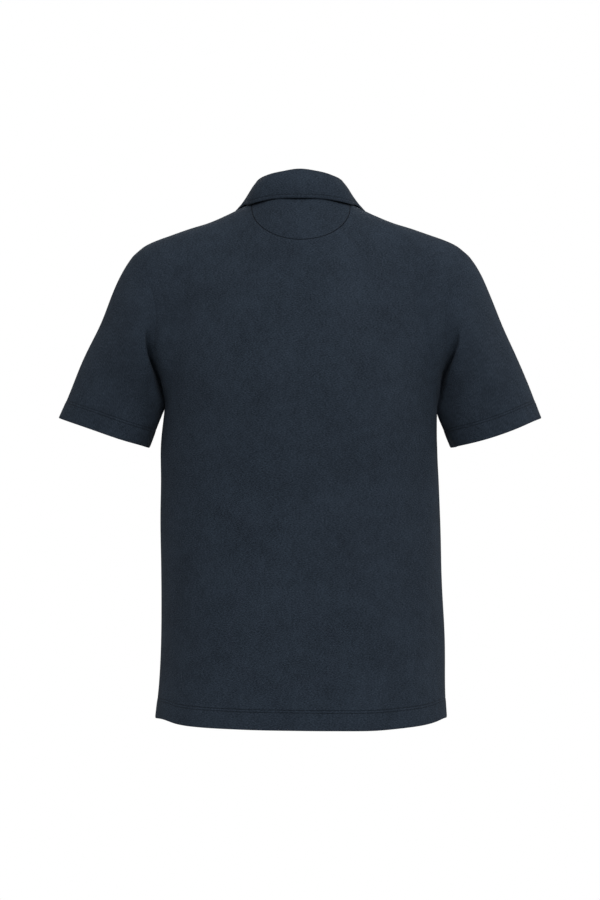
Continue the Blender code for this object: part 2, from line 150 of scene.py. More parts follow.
COLLAR.insert(0, BESIDE._replace(turn=-BESIDE.turn, roll_x=-BESIDE.roll_x, edge_x=-BESIDE.edge_x))

PLACKET_WIDTH = 0.032
PLACKET_SHARE = NECK_SHARE * math.asin(PLACKET_WIDTH / 2 / NECK_HALF_WIDTH) / (math.pi / 2)
PLACKET_FOOT = 1.0 + 2.0 / 7.0
PLACKET_LAP = 0.0031         # of the upper strip past the slit, as a share
BUTTON_RADIUS = 0.0057
BUTTON_THICKNESS = 0.0026
BUTTON_LIFT = 0.0008
BUTTON_LEVELS = (-0.084, -0.131, -0.178)

PATCH_HALF_WIDTH = 0.0675
PATCH_LEVEL = 0.004
PATCH_DROP = 0.050


# ---------------------------------------------------------------- curves

def vec(x, y, z):
    return np.stack(np.broadcast_arrays(np.asarray(x, float), y, z), axis=-1)


def unit(vector):
    return vector / np.linalg.norm(vector, axis=-1, keepdims=True)


def mirrored(points):
    return points * np.array((-1.0, 1.0, 1.0))


def hermite(start, leave, end, arrive, t):
    """The cubic from start to end that leaves and arrives with the given runs."""
    return (
        start * (2 * t**3 - 3 * t**2 + 1)
        + leave * (t**3 - 2 * t**2 + t)
        + end * (3 * t**2 - 2 * t**3)
        + arrive * (t**3 - t**2)
    )


def ease(low, high, at):
    """0 below low, 1 above high, and smooth between them."""
    t = np.clip((at - low) / (high - low), 0.0, 1.0)
    return t * t * (3 - 2 * t)


def hump(distance, width):
    """1 at no distance, and fading over a width."""
    return np.exp(-((distance / width) ** 2))


def interpolated(at, run, values):
    """The values of rows at places along their run, each column by itself."""
    return np.stack([np.interp(at, run, column) for column in values.T], axis=-1)


def run_along(points, axis=0):
    """The distance from the first point, along a line of points or one axis of a grid of them."""
    steps = np.diff(points, axis=axis, prepend=np.take(points, [0], axis))
    return np.linalg.norm(steps, axis=-1).cumsum(axis)


def through(rows, column, key, at):
    """A smooth curve through one column of a table, by its key column or else by its row numbers."""
    places = np.arange(len(rows))
    keys = np.array([getattr(row, key) for row in rows]) if key else places
    values = np.array([getattr(row, column) for row in rows])
    low, high = np.maximum(places - 1, 0), np.minimum(places + 1, len(rows) - 1)
    slopes = (values[high] - values[low]) / (keys[high] - keys[low])
    i = np.clip(np.searchsorted(keys, at, side="right") - 1, 0, len(keys) - 2)
    span = keys[i + 1] - keys[i]
    return hermite(values[i], slopes[i] * span, values[i + 1], slopes[i + 1] * span, (at - keys[i]) / span)


# ---------------------------------------------------------------- body surface

def body_section(depth, across, level):
    half_width = through(BODY, "half_width", "level", level)
    reach = np.sin(0.5 * np.pi * across)
    bulge = np.maximum(0.0, 1.0 - reach**SECTION_POWER) ** (1.0 / SECTION_POWER)
    side = 1.0 if depth == "back" else -1.0
    return vec(half_width * reach, side * through(BODY, depth, "level", level) * bulge, level)


def panel_top(depth, across):
    """The panel's upper edge: the neck seam, then the shoulder seam."""
    way = np.clip((across - NECK_SHARE) / (1.0 - NECK_SHARE), 0.0, 1.0)
    out = NECK_HALF_WIDTH + way * (SHOULDER[-1].out - NECK_HALF_WIDTH)
    shoulder = vec(out, 0.0, through(SHOULDER, "level", "out", out))
    round_neck = np.maximum(across, PLACKET_SHARE) if depth == "front" else across
    turn = 0.5 * np.pi * np.minimum(round_neck / NECK_SHARE, 1.0)
    middle = BACK_NECK if depth == "back" else FRONT_NECK
    drop = np.cos(turn) if depth == "back" else np.maximum(np.cos(turn), 0.0) ** FRONT_NECK_POWER
    x = NECK_HALF_WIDTH * np.sin(turn)
    if depth == "front":
        x = x * np.minimum(across / PLACKET_SHARE, 1.0)
    neck = vec(x, middle[1] * np.cos(turn), NECK_LEVEL + (middle[2] - NECK_LEVEL) * drop)
    return np.where((across >= NECK_SHARE)[..., None], shoulder, neck)


def plain_panel(depth, across, up):
    """Points on the outer face of the back or the front, with a ridge below the neck's corners."""
    across, up = np.broadcast_arrays(np.asarray(across, float), np.asarray(up, float))
    flip, across = np.where(across < 0, -1.0, 1.0), np.abs(across)
    low = body_section(depth, across, HEM_LEVEL + (UNDERARM_LEVEL - HEM_LEVEL) * np.minimum(up, 1.0))
    side = 1.0 if depth == "back" else -1.0
    fall = FALLS[depth]
    underarm = np.full_like(across, UNDERARM_LEVEL)
    start = body_section(depth, across, underarm)
    end = panel_top(depth, across)
    height = (end - start)[..., 2:]
    turn = ease(ARMHOLE_SHARE, 1.0, across)[..., None]
    rise = (start - body_section(depth, across, underarm - TINY)) / TINY
    inward = unit(body_section(depth, np.abs(across - TINY), underarm) - start)
    inward = np.where((across < TINY)[..., None], 0.0, inward)
    leave = rise * height * (1.0 + (ARMHOLE_RISE - 1.0) * turn) + inward * fall.armhole_run * turn
    neck = np.cos(0.5 * np.pi * np.minimum(across / NECK_SHARE, 1.0))[..., None]
    swing = (NECK_SWING * (1.0 - ease(NECK_SHARE, NECK_SHARE + NECK_SWING_REACH, across)))[..., None]
    over = unit(np.array(NECK_SLOPE)) * np.sin(swing) - np.array((0.0, side, 0.0)) * np.cos(swing)
    top = np.array((0.0, -side * fall.neck_run, fall.neck_rise))
    arrive = over * fall.shoulder_run * (1.0 - neck) + top * neck
    way = np.clip(up - 1.0, 0.0, 1.0)[..., None]
    high = hermite(start, leave, end, arrive, way)
    high[..., 0] -= (fall.armhole_bow * turn * 16.0 * (way * (1.0 - way)) ** 2)[..., 0]
    point = np.where((up <= 1.0)[..., None], low, high)
    point[..., 0] *= flip
    point[..., 1] -= side * SIDE_TUCK
    return point


def panel(depth, across, up):
    """Points on the outer face of the back or the front, evened out below the neck's corners."""
    across, up = np.broadcast_arrays(np.asarray(across, float), np.asarray(up, float))
    off = np.abs(across)
    reach = ease(0.0, NECK_SHARE, off) * (1.0 - ease(NECK_SHARE, 1.0, off))
    reach = reach * (1.0 - ease(2.0 - EVEN_HEAD, 2.0, up)) * ease(1.0, 1.0 + EVEN_FOOT, up) * EVEN_REACH
    shares = hump(np.array(EVEN_STEPS), math.sqrt(2.0))
    points = [plain_panel(depth, across + step * reach, up) for step in EVEN_STEPS]
    return sum(share * point for share, point in zip(shares / shares.sum(), points))


# ---------------------------------------------------------------- sleeve surface

def armhole(turn):
    """Points on the armhole's edge; turn runs 0 to 1 from the shoulder, by the back."""
    behind = turn <= 0.5
    edge = panel("back", 1.0, np.where(behind, 2.0 - 2.0 * turn, 1.5))
    return np.where(behind[..., None], edge, panel("front", 1.0, np.where(behind, 1.5, 2.0 * turn)))


def armhole_outward(turn):
    """The way that the body's cloth points where it ends at the armhole."""
    behind = turn <= 0.5
    up = np.where(behind, 2.0 - 2.0 * turn, 2.0 * turn)
    inner = np.clip(up, 1.0 + 2 * TINY, 2.0 - TINY)
    ways = []
    for depth in ("back", "front"):
        edge = unit(panel(depth, 1.0, inner) - panel(depth, 1.0, inner - TINY))
        off = unit(panel(depth, 1.0, inner) - panel(depth, 1.0 - TINY, inner))
        ways.append(unit(off - edge * np.sum(off * edge, axis=-1, keepdims=True)))
    way = np.where(behind[..., None], ways[0], ways[1])
    way = np.where((up > 2.0 - TINY)[..., None], unit(np.array(SLEEVE_HEAD_SLOPE)), way)
    return np.where((up < 1.0 + TINY)[..., None], np.array((0.0, 0.0, 1.0)), way)


def sleeve(turn, down):
    """Points on the outer face of the left sleeve; down runs 0 to 1, armhole to cuff."""
    turn, down = np.broadcast_arrays(np.asarray(turn, float) % 1.0, np.asarray(down, float))
    outer, back = np.cos(2 * np.pi * turn)[..., None], np.sin(2 * np.pi * turn)[..., None]
    start = armhole(turn) - armhole_outward(turn) * ARMHOLE_TUCK
    cuff_axis = np.array((math.cos(ARM_TILT), 0.0, math.sin(ARM_TILT)))
    end = np.array(CUFF_CENTRE) + cuff_axis * CUFF_HALF_WIDTH * outer
    end = end + np.array((0.0, CUFF_HALF_DEPTH, 0.0)) * back
    head = unit(np.array(SLEEVE_HEAD_SLOPE)) * HEAD_PULL
    side = np.array(SIDE_PULL) * np.concatenate((np.ones_like(back), back, np.ones_like(back)), axis=-1)
    ends = head * ease(0.0, 1.0, outer) + np.array(UNDERARM_PULL) * ease(0.0, 1.0, -outer)
    leave = ends + side * (1.0 - ease(0.0, 1.0, np.abs(outer)))
    pull = (CUFF_PULL_OUTER + CUFF_PULL_INNER + (CUFF_PULL_OUTER - CUFF_PULL_INNER) * outer) / 2
    arrive = np.array((math.sin(ARM_LEAN), 0.0, -math.cos(ARM_LEAN))) * pull
    return hermite(start, leave, end, arrive, down[..., None])


# ---------------------------------------------------------------- collar surface

def neck_seam(turn):
    """Points on the neck seam; turn runs 0 at the back to 180 at the front, in degrees."""
    side, turn = np.where(turn < 0, -1.0, 1.0), np.abs(turn)
    behind = turn <= 90.0
    share = np.where(behind, turn / 90.0, 2.0 - turn / 90.0) * NECK_SHARE
    point = np.where(behind[..., None], panel_top("back", share), panel_top("front", share))
    return point * vec(side, 1.0, 1.0)


def collar_row(turn):
    """The roll's middle, the leaf's lower edge and the way out, at a turn round the neck."""
    side = np.where(turn < 0, -1.0, 1.0)
    at = {name: through(COLLAR, name, "turn", np.abs(turn)) for name in Collar._fields[1:]}
    roll = vec(side * at["roll_x"], at["roll_y"], at["roll_z"] - ROLL_RADIUS)
    edge = vec(side * at["edge_x"], at["edge_y"], at["edge_z"])
    out = unit((edge - roll) * np.array((1.0, 1.0, 0.0)))
    return roll, edge, out


def collar_leaf(turn, down):
    """Points on the leaf's outer face: down 0 to 0.5 is the roll, 0.5 to 1 the fall."""
    turn, down = np.broadcast_arrays(np.asarray(turn, float), np.asarray(down, float))
    roll, edge, out = collar_row(turn)
    top = np.array((0.0, 0.0, 1.0))
    angle = (math.pi + (ROLL_END - math.pi) * np.minimum(down / 0.5, 1.0))[..., None]
    point = roll + (out * np.cos(angle) + top * np.sin(angle)) * ROLL_RADIUS
    way = np.maximum(0.0, (down - 0.5) / 0.5)[..., None]
    line = edge - point
    bow = unit(out * -line[..., 2:] + top * np.sum(line * out, axis=-1, keepdims=True))
    size = (LEAF_BOW * (1.0 - SIDE_FLATNESS * hump(np.abs(turn) - SIDE_TURN, SIDE_REACH)))[..., None]
    return np.where(way > 0, point + line * way + bow * size * 4 * way * (1 - way), point)


def collar_stand(turn, up):
    """Points on the stand's outer face; up runs 0 to 1 from the neck seam to the roll."""
    turn, up = np.broadcast_arrays(np.asarray(turn, float), np.asarray(up, float))
    roll, _, out = collar_row(turn)
    low = neck_seam(turn) - np.array((0.0, 0.0, STAND_TUCK))
    high = roll - out * (ROLL_RADIUS - sizes().collar_knit) - np.array((0.0, 0.0, SEAM_GAP))
    return low + (high - low) * up[..., None]


# ---------------------------------------------------------------- folds

# A stop holds the cloth's two numbers there, the fold's width towards the middle of the shirt and
# away from it, how deep it is pressed in, and how far it leans away from the middle.
Fold = namedtuple("Fold", "cloth press stops")
Stop = namedtuple("Stop", "a b width_low width_high depth lean", defaults=(0.0,))
FORWARDS = (0.0, -1.0, 0.0)
BACKWARDS = (0.0, 1.0, 0.0)
FOLDS = [
    # armpits, behind: the sleeve turns in beside the body, and its tuck runs up from there
    Fold("sleeve_left", FORWARDS, [
        Stop(0.290, 0.100, 0.0080, 0.0090, 0.0000),
        Stop(0.348, 0.110, 0.0050, 0.0130, 0.0060),
        Stop(0.377, 0.145, 0.0035, 0.0170, 0.0115),
        Stop(0.409, 0.172, 0.0030, 0.0190, 0.0120),
        Stop(0.455, 0.125, 0.0030, 0.0170, 0.0060),
        Stop(0.490, 0.030, 0.0030, 0.0120, 0.0000),
    ]),
    Fold("sleeve_left", FORWARDS, [
        Stop(0.232, 0.088, 0.0100, 0.0045, 0.0000),
        Stop(0.262, 0.083, 0.0095, 0.0032, 0.0026, 0.0010),
        Stop(0.287, 0.080, 0.0085, 0.0026, 0.0090, 0.0034),
        Stop(0.315, 0.082, 0.0072, 0.0025, 0.0155, 0.0054),
        Stop(0.348, 0.101, 0.0042, 0.0032, 0.0220, 0.0046),
        Stop(0.377, 0.152, 0.0027, 0.0034, 0.0210, 0.0012),
        Stop(0.409, 0.230, 0.0020, 0.0028, 0.0145, -0.0022),
        Stop(0.450, 0.192, 0.0016, 0.0021, 0.0080, -0.0018),
        Stop(0.485, 0.040, 0.0016, 0.0021, 0.0000),
    ]),
    Fold("sleeve_right", FORWARDS, [
        Stop(0.285, 0.135, 0.0080, 0.0090, 0.0000),
        Stop(0.338, 0.130, 0.0060, 0.0130, 0.0060),
        Stop(0.374, 0.137, 0.0040, 0.0180, 0.0110),
        Stop(0.400, 0.170, 0.0030, 0.0220, 0.0125),
        Stop(0.440, 0.160, 0.0030, 0.0200, 0.0080),
        Stop(0.485, 0.040, 0.0030, 0.0130, 0.0000),
    ]),
    Fold("sleeve_right", FORWARDS, [
        Stop(0.234, 0.098, 0.0160, 0.0080, 0.0000),
        Stop(0.258, 0.108, 0.0140, 0.0050, 0.0024, 0.0004),
        Stop(0.280, 0.113, 0.0120, 0.0034, 0.0070, 0.0022),
        Stop(0.308, 0.111, 0.0095, 0.0028, 0.0130, 0.0042),
        Stop(0.341, 0.117, 0.0060, 0.0032, 0.0205, 0.0044),
        Stop(0.370, 0.141, 0.0032, 0.0034, 0.0225, 0.0016),
        Stop(0.397, 0.198, 0.0021, 0.0029, 0.0165, -0.0018),
        Stop(0.433, 0.212, 0.0017, 0.0022, 0.0100, -0.0016),
        Stop(0.480, 0.060, 0.0017, 0.0022, 0.0000),
    ]),
    # armpits, before
    Fold("sleeve_left", BACKWARDS, [
        Stop(0.745, 0.110, 0.0100, 0.0050, 0.0000),
        Stop(0.705, 0.110, 0.0085, 0.0035, 0.0090),
        Stop(0.655, 0.115, 0.0050, 0.0060, 0.0165),
        Stop(0.610, 0.150, 0.0030, 0.0110, 0.0165),
        Stop(0.560, 0.130, 0.0028, 0.0130, 0.0090),
        Stop(0.515, 0.030, 0.0028, 0.0100, 0.0000),
    ]),
    Fold("sleeve_right", BACKWARDS, [
        Stop(0.752, 0.125, 0.0110, 0.0055, 0.0000),
        Stop(0.712, 0.120, 0.0085, 0.0035, 0.0085),
        Stop(0.660, 0.115, 0.0055, 0.0055, 0.0170),
        Stop(0.612, 0.145, 0.0030, 0.0110, 0.0170),
        Stop(0.565, 0.140, 0.0028, 0.0130, 0.0090),
        Stop(0.515, 0.040, 0.0028, 0.0100, 0.0000),
    ]),
    # the sleeves' sides, where they were pressed flat
    Fold("sleeve_left", FORWARDS, [
        Stop(0.075, 0.420, 0.0030, 0.0050, 0.0000),
        Stop(0.120, 0.375, 0.0026, 0.0060, 0.0005),
        Stop(0.165, 0.330, 0.0026, 0.0060, 0.0005),
        Stop(0.215, 0.265, 0.0030, 0.0050, 0.0000),
    ]),
    Fold("sleeve_right", FORWARDS, [
        Stop(0.040, 0.565, 0.0030, 0.0050, 0.0000),
        Stop(0.100, 0.520, 0.0026, 0.0060, 0.0005),
        Stop(0.160, 0.475, 0.0026, 0.0060, 0.0005),
        Stop(0.220, 0.430, 0.0030, 0.0050, 0.0000),
    ]),
]

Pull = namedtuple("Pull", "x y z reach by_x by_y by_z")
PULLS = [
    Pull(0.272, 0.000, -0.150, 0.040, -0.0032, 0.0000, 0.0000),      # left sleeve, outer side
    Pull(-0.235, 0.010, -0.090, 0.034, -0.0030, 0.0000, 0.0000),     # right sleeve, head
    Pull(0.196, 0.000, -0.600, 0.075, -0.0026, 0.0000, 0.0000),      # left side seam
    Pull(-0.196, 0.000, -0.590, 0.075, -0.0032, 0.0000, 0.0000),     # right side seam
    Pull(-0.265, 0.055, -0.320, 0.050, 0.0000, 0.0000, -0.0035),     # right cuff, behind
    Pull(0.190, 0.060, -0.190, 0.040, 0.0115, 0.0000, 0.0000),       # armhole seams, behind
    Pull(-0.190, 0.060, -0.190, 0.040, -0.0115, 0.0000, 0.0000),
    Pull(0.190, -0.065, -0.195, 0.040, 0.0090, 0.0000, 0.0000),      # armhole seams, before
    Pull(-0.190, -0.065, -0.195, 0.040, -0.0100, 0.0000, 0.0000),
    Pull(0.000, 0.015, 0.045, 0.080, 0.0041, 0.0000, 0.0000),        # the collar leans to the left
    Pull(0.193, 0.000, -0.325, 0.042, 0.0032, 0.0000, 0.0000),       # side seams below the armpits
    Pull(-0.192, 0.000, -0.325, 0.042, 0.0020, 0.0000, 0.0000),
    Pull(0.193, 0.000, -0.400, 0.055, 0.0014, 0.0000, 0.0000),
    Pull(-0.194, 0.000, -0.400, 0.055, 0.0014, 0.0000, 0.0000),
    Pull(0.190, 0.050, -0.700, 0.030, 0.0000, 0.0000, 0.0032),       # the hem, behind
    Pull(-0.100, 0.120, -0.700, 0.060, 0.0000, 0.0000, -0.0022),
    Pull(-0.193, 0.040, -0.700, 0.028, 0.0000, 0.0000, 0.0030),
    Pull(0.248, 0.000, -0.085, 0.032, 0.0016, 0.0000, 0.0000),       # left sleeve, head and cuff
    Pull(0.260, 0.050, -0.330, 0.050, 0.0000, 0.0000, -0.0012),
    Pull(-0.335, 0.000, -0.290, 0.045, 0.0030, 0.0000, 0.0000),      # right sleeve, outer side
    Pull(-0.280, 0.000, -0.160, 0.032, 0.0016, 0.0000, 0.0000),
    Pull(-0.190, 0.000, -0.275, 0.022, 0.0000, 0.0000, -0.0065),     # the right underarm is lower
    Pull(0.190, 0.000, -0.275, 0.022, 0.0000, 0.0000, -0.0012),
    Pull(-0.026, 0.055, 0.052, 0.026, -0.0010, 0.0000, 0.0009),      # the collar's roll, right of the middle
    Pull(-0.188, 0.030, -0.246, 0.026, -0.0022, 0.0000, 0.0000),     # the right armpit's lip
    Pull(-0.214, 0.000, -0.327, 0.012, -0.0072, 0.0000, 0.0010),     # the right cuff's inner corner
]
LINE_POINTS = 6              # of a fold's line, for each of its stops
FOLD_REACH = 3.0             # widths round its line, within which a fold moves the cloth
FOLD_BACK = 0.020            # how much less than that it reaches past the middle of the shirt's depth
UNEVEN_DEPTH = 0.00035
UNEVEN_LENGTHS = (0.055, 0.070, 0.085, 0.110, 0.150)
UNEVEN_SEED = 5


def cloth_point(cloth, a, b):
    """Points of a piece of cloth by its two numbers."""
    if cloth == "sleeve_left":
        return sleeve(a, b)
    if cloth == "sleeve_right":
        return mirrored(sleeve(a, b))
    return panel(cloth, a, b)


def fold_lines():
    """Each fold's line on the cloth, its sizes there and the ways of its press and its lean."""
    lines = []
    for fold in FOLDS:
        at = np.linspace(0.0, len(fold.stops) - 1.0, LINE_POINTS * len(fold.stops))
        a, b, *measures = (through(fold.stops, name, None, at) for name in Stop._fields)
        line = cloth_point(fold.cloth, a, b)
        side = np.sign(line[0]) * (1.0, 0.0, 0.0)
        lines.append((line, np.stack(measures, axis=1), np.array(fold.press), side))
    return lines


def uneven(points):
    """A slight, slow unevenness of all cloth, as a distance outwards from the middle."""
    draw = np.random.default_rng(UNEVEN_SEED)
    total = np.zeros(points.shape[:-1])
    for length in UNEVEN_LENGTHS:
        way = unit(draw.normal(size=3)) * 2 * math.pi / length
        total += np.sin(points @ way + draw.uniform(0.0, 2 * math.pi))
    return total * sizes().unevenness


def draped(points):
    """The points with the folds pressed in; cloth that is sewn together moves together."""
    flat = points.reshape(-1, 3)
    out = unit(flat * np.array((1.0, 1.0, 0.0)) + np.array((0.0, 0.0, TINY)))
    moved = flat + out * uneven(flat)[:, None]
    for pull in PULLS:
        far = np.linalg.norm(flat - np.array(pull[:3]), axis=1)
        moved += hump(far, pull.reach)[:, None] * np.array(pull[4:])
    for line, measures, press, side in fold_lines():
        reach = FOLD_REACH * measures[:, :2].max()
        near = np.all((flat > line.min(axis=0) - reach) & (flat < line.max(axis=0) + reach), axis=1)
        near &= flat @ press < reach - FOLD_BACK
        here = flat[near]
        best = np.full(len(here), np.inf)
        way = np.zeros(len(here))
        for i in range(len(line) - 1):
            run = line[i + 1] - line[i]
            t = np.clip((here - line[i]) @ run / (run @ run), 0.0, 1.0)
            far = np.linalg.norm(here - line[i] - t[:, None] * run, axis=1)
            closer = far < best
            best, way = np.where(closer, far, best), np.where(closer, i + t, way)
        places = np.arange(len(line))
        low, high, depth, lean = interpolated(way, places, measures).T
        beyond = np.abs(here[:, 0]) > np.abs(np.interp(way, places, line[:, 0]))
        share = sizes().folds * hump(best, np.where(beyond, high, low))[:, None]
        moved[near] += share * (press * depth[:, None] + side * lean[:, None])
    return moved.reshape(points.shape)


# ---------------------------------------------------------------- grids of cloth

SEAM_LINES = (0.0, 0.0006, 0.0013, 0.0022, 0.0035, 0.0055, 0.0080)
HEM_DEPTH = 0.0280
HEM_ROWS = (0.0235, 0.0270)
HEM_LINES = (
    0.0, 0.0008, 0.0020, 0.0045, 0.0080, 0.0120, 0.0165, 0.0205, 0.0222, 0.0229, HEM_ROWS[0], 0.0241, 0.0252,
    0.0264, HEM_ROWS[1], 0.0276, HEM_DEPTH, 0.0290, 0.0310, 0.0335,
)
BODY_HEIGHT = UNDERARM_LEVEL - HEM_LEVEL
ARMHOLE_HEIGHT = 0.262       # along the cloth, as is the half width
PANEL_HALF_WIDTH = 0.262
CLOTH_STEP = 0.0032
FINE_STEPS = 301             # to measure a column by
LOW_SHARE = 0.7              # of a short column, for the lines by its low end


def graded(length, step, low=(0.0,), high=(0.0,)):
    """Shares 0 to 1 of a length: even steps, and closer lines at the distances from its ends."""
    start, stop = max(low), length - max(high)
    count = max(1, round((stop - start) / step))
    even = [start + (stop - start) * i / count for i in range(1, count)]
    return np.array(sorted([*low, *even, *(length - line for line in high)])) / length


def with_line(shares, value):
    """The shares with the one nearest to a value moved onto it."""
    shares = shares.copy()
    shares[np.argmin(np.abs(shares - value))] = value
    return shares


def panel_columns(*fixed):
    half = graded(PANEL_HALF_WIDTH, CLOTH_STEP, high=SEAM_LINES)
    for value in fixed:
        half = with_line(half, value)
    return np.concatenate((-half[:0:-1], half))


def panel_ups(*fixed):
    low = graded(BODY_HEIGHT, CLOTH_STEP, low=HEM_LINES)
    high = 1.0 + graded(ARMHOLE_HEIGHT, CLOTH_STEP, high=SEAM_LINES)
    for value in fixed:
        high = with_line(high, value)
    return np.concatenate((low, high[1:]))


def rows_by_distance(surface, columns, low, high, count):
    """For each column, its shares 0 to 1 at distances from both ends, and even ones between.

    Where the column is short, the lines by its low end close up.
    """
    fine = np.linspace(0.0, 1.0, FINE_STEPS)
    run = run_along(surface(*np.meshgrid(columns, fine)))
    length = run[-1]
    fit = np.minimum(1.0, LOW_SHARE * (length - max(high)) / max(low))
    start, stop = max(low) * fit, length - max(high)
    targets = [line * fit for line in low]
    targets += [start + (stop - start) * i / count for i in range(1, count)]
    targets = np.array(targets + [length - line for line in sorted(high, reverse=True)])
    return np.stack([np.interp(targets[:, j], run[:, j], fine) for j in range(len(columns))], axis=1)


Cloth = namedtuple("Cloth", "points normals a b from_first from_last from_low from_high closed")


def grid_normals(points, centre, closed):
    """Unit normals of a grid of points, turned to point away from its centre."""
    along = np.gradient(points, axis=1)
    if closed:
        along[:, 0] = along[:, -1] = points[:, 1] - points[:, -2]
    normals = unit(np.cross(along, np.gradient(points, axis=0)))
    return normals * (1.0 if np.sum(normals * (points - centre)) > 0 else -1.0)


def lay_cloth(surface, a, b, centre=None, closed=False, out=0.0):
    """A grid of cloth on a surface, with its folds and its distances from its four edges."""
    points = draped(surface(a, b))
    if centre is None:
        centre = points * np.array((0.0, 0.0, 1.0))
    points = points + grid_normals(points, centre, closed) * out
    across, upward = run_along(points, 1), run_along(points, 0)
    normals = grid_normals(points, centre, closed)
    return Cloth(points, normals, a, b, across, across[:, -1:] - across, upward, upward[-1:] - upward, closed)


def raised(cloth, relief):
    """The cloth with its surface moved out by a distance at each point."""
    return cloth._replace(points=cloth.points + cloth.normals * relief[..., None])


Dent = namedtuple("Dent", "depth width")
SEAM_DENT = Dent(0.0001, 0.0013)
HEM_ROLL = Dent(0.0005, 0.0012)
HEM_ROW_DENT = Dent(0.0003, 0.0007)
HEM_PUFF = 0.0004
HEM_FADE = 0.001


def dent(distance, size):
    """How far a seam, a row of stitches or a rolled edge draws the cloth in, by the distance from it."""
    return -size.depth * hump(distance, size.width)


def hem_relief(distance):
    """A turned-up hem: its edge rolls in, and its two rows of stitches pull the cloth down."""
    puff = HEM_PUFF * (1.0 - ease(HEM_ROWS[0] - HEM_FADE, HEM_DEPTH + HEM_FADE, distance))
    return puff + dent(distance, HEM_ROLL) + sum(dent(distance - row, HEM_ROW_DENT) for row in HEM_ROWS)


# ---------------------------------------------------------------- meshes

FAR = 1.0                    # a distance to a line of stitches that a piece does not have
RIM_ANGLE = math.radians(60.0)


def link(name, bm, material):
    mesh = bpy.data.meshes.new(name)
    bm.to_mesh(mesh)
    bm.free()
    mesh.materials.append(material)
    mesh.shade_smooth()
    obj = bpy.data.objects.new(name, mesh)
    bpy.context.scene.collection.objects.link(obj)
    return obj


def cloth_mesh(name, cloth, material, plies, lines, cut_away=None):
    """The grid as a mesh, with its UV map in metres and its distances to stitches and seams."""
    rows, columns = cloth.a.shape
    bm = bmesh.new()
    bmesh.ops.create_grid(bm, x_segments=columns - 1, y_segments=rows - 1, size=0.5)
    uv = bm.loops.layers.uv.new("cut")
    layers = [(bm.verts.layers.float.new(key), values) for key, values in lines.items()]
    weight = bm.verts.layers.deform.verify()
    places = {}
    for vert in bm.verts:
        place = (round((vert.co.y + 0.5) * (rows - 1)), round((vert.co.x + 0.5) * (columns - 1)))
        places[vert] = place
        for layer, values in layers:
            vert[layer] = values[place]
        vert[weight][0] = plies[place]
    if cut_away is not None:
        cut = [face for face in bm.faces if all(cut_away[places[vert]] for vert in face.verts)]
        bmesh.ops.delete(bm, geom=cut, context="FACES")
    middle = (cloth.from_first - cloth.from_last) / 2
    for face in bm.faces:
        for loop in face.loops:
            place = places[loop.vert]
            loop[uv].uv = (middle[place], cloth.from_low[place])
    for vert in bm.verts:
        vert.co = cloth.points[places[vert]]
    bm.normal_update()
    some = list(bm.verts)[::rows]
    if sum(vert.normal.dot(Vector(cloth.normals[places[vert]])) for vert in some) < 0:
        bmesh.ops.reverse_faces(bm, faces=bm.faces)
    if cloth.closed:
        bmesh.ops.remove_doubles(bm, verts=bm.verts, dist=TINY)
    obj = link(name, bm, material)
    obj.vertex_groups.new(name="plies")
    return obj


def give_wall(obj, thickness, edge):
    """A wall inwards of the cloth's face, with a soft rim; the group says its share of thickness."""
    wall = obj.modifiers.new("wall", "SOLIDIFY")
    wall.thickness = thickness
    wall.offset = -1.0
    wall.vertex_group = "plies"
    rim = obj.modifiers.new("rim", "BEVEL")
    rim.width = edge
    rim.segments = 2
    rim.limit_method = "ANGLE"
    rim.angle_limit = RIM_ANGLE
    rim.harden_normals = False


def dress(obj):
    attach(obj, "root")


def sewn_lines(cloth, hem=FAR, seam=FAR, row=FAR):
    """The distances at which the knit's material draws in hems, seams and rows of stitches, and paints shade
    along them.
    """
    lines = {"from_hem": hem, "from_seam": seam, "from_row": row}
    return {name: np.broadcast_to(distance, cloth.a.shape) for name, distance in lines.items()}


def make_piece(name, cloth, node, slot, lines, wall, rim, plies=1.0, cut_away=None):
    """A piece of cloth with its wall, in the place of a CAD node."""
    material = collar_material() if slot == "collar_knit" else body_material()
    obj = cloth_mesh(name, cloth, material, np.broadcast_to(plies, cloth.a.shape), lines, cut_away)
    give_wall(obj, wall, rim)
    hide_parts(node)
    dress(obj)
    return obj


# ---------------------------------------------------------------- stitches

STITCH_LENGTH = 0.0030
STITCH_GAP = 0.0005
SATIN_PITCH = 2.4            # radii from one stitch to the next, where they lie side by side
STITCH_SINK = 0.2            # radii into the cloth


def edge_line(cloth, distances, value, by_column=True):
    """The points and normals where a distance from an edge has a value, in each column or row."""
    grids = [distances, cloth.points, cloth.normals]
    if not by_column:
        grids = [grid.swapaxes(0, 1) for grid in grids]
    if grids[0][0, 0] > grids[0][-1, 0]:
        grids = [grid[::-1] for grid in grids]
    far, *grids = (grid.swapaxes(0, 1) for grid in grids)
    points, normals = ([interpolated(value, *line) for line in zip(far, grid)] for grid in grids)
    return np.array(points), unit(np.array(normals))


def on_cloth(cloth, a, b):
    """Points and normals of a panel's cloth at its numbers across and up."""
    column = np.interp(a, cloth.a[0], np.arange(cloth.a.shape[1]))
    row = np.interp(b, cloth.b[:, 0], np.arange(cloth.a.shape[0]))
    j = np.minimum(column.astype(int), cloth.a.shape[1] - 2)
    i = np.minimum(row.astype(int), cloth.a.shape[0] - 2)
    u, v = (column - j)[:, None], (row - i)[:, None]

    def between(values):
        low = values[i, j] * (1 - u) + values[i, j + 1] * u
        high = values[i + 1, j] * (1 - u) + values[i + 1, j + 1] * u
        return low * (1 - v) + high * v

    return between(cloth.points), unit(between(cloth.normals))


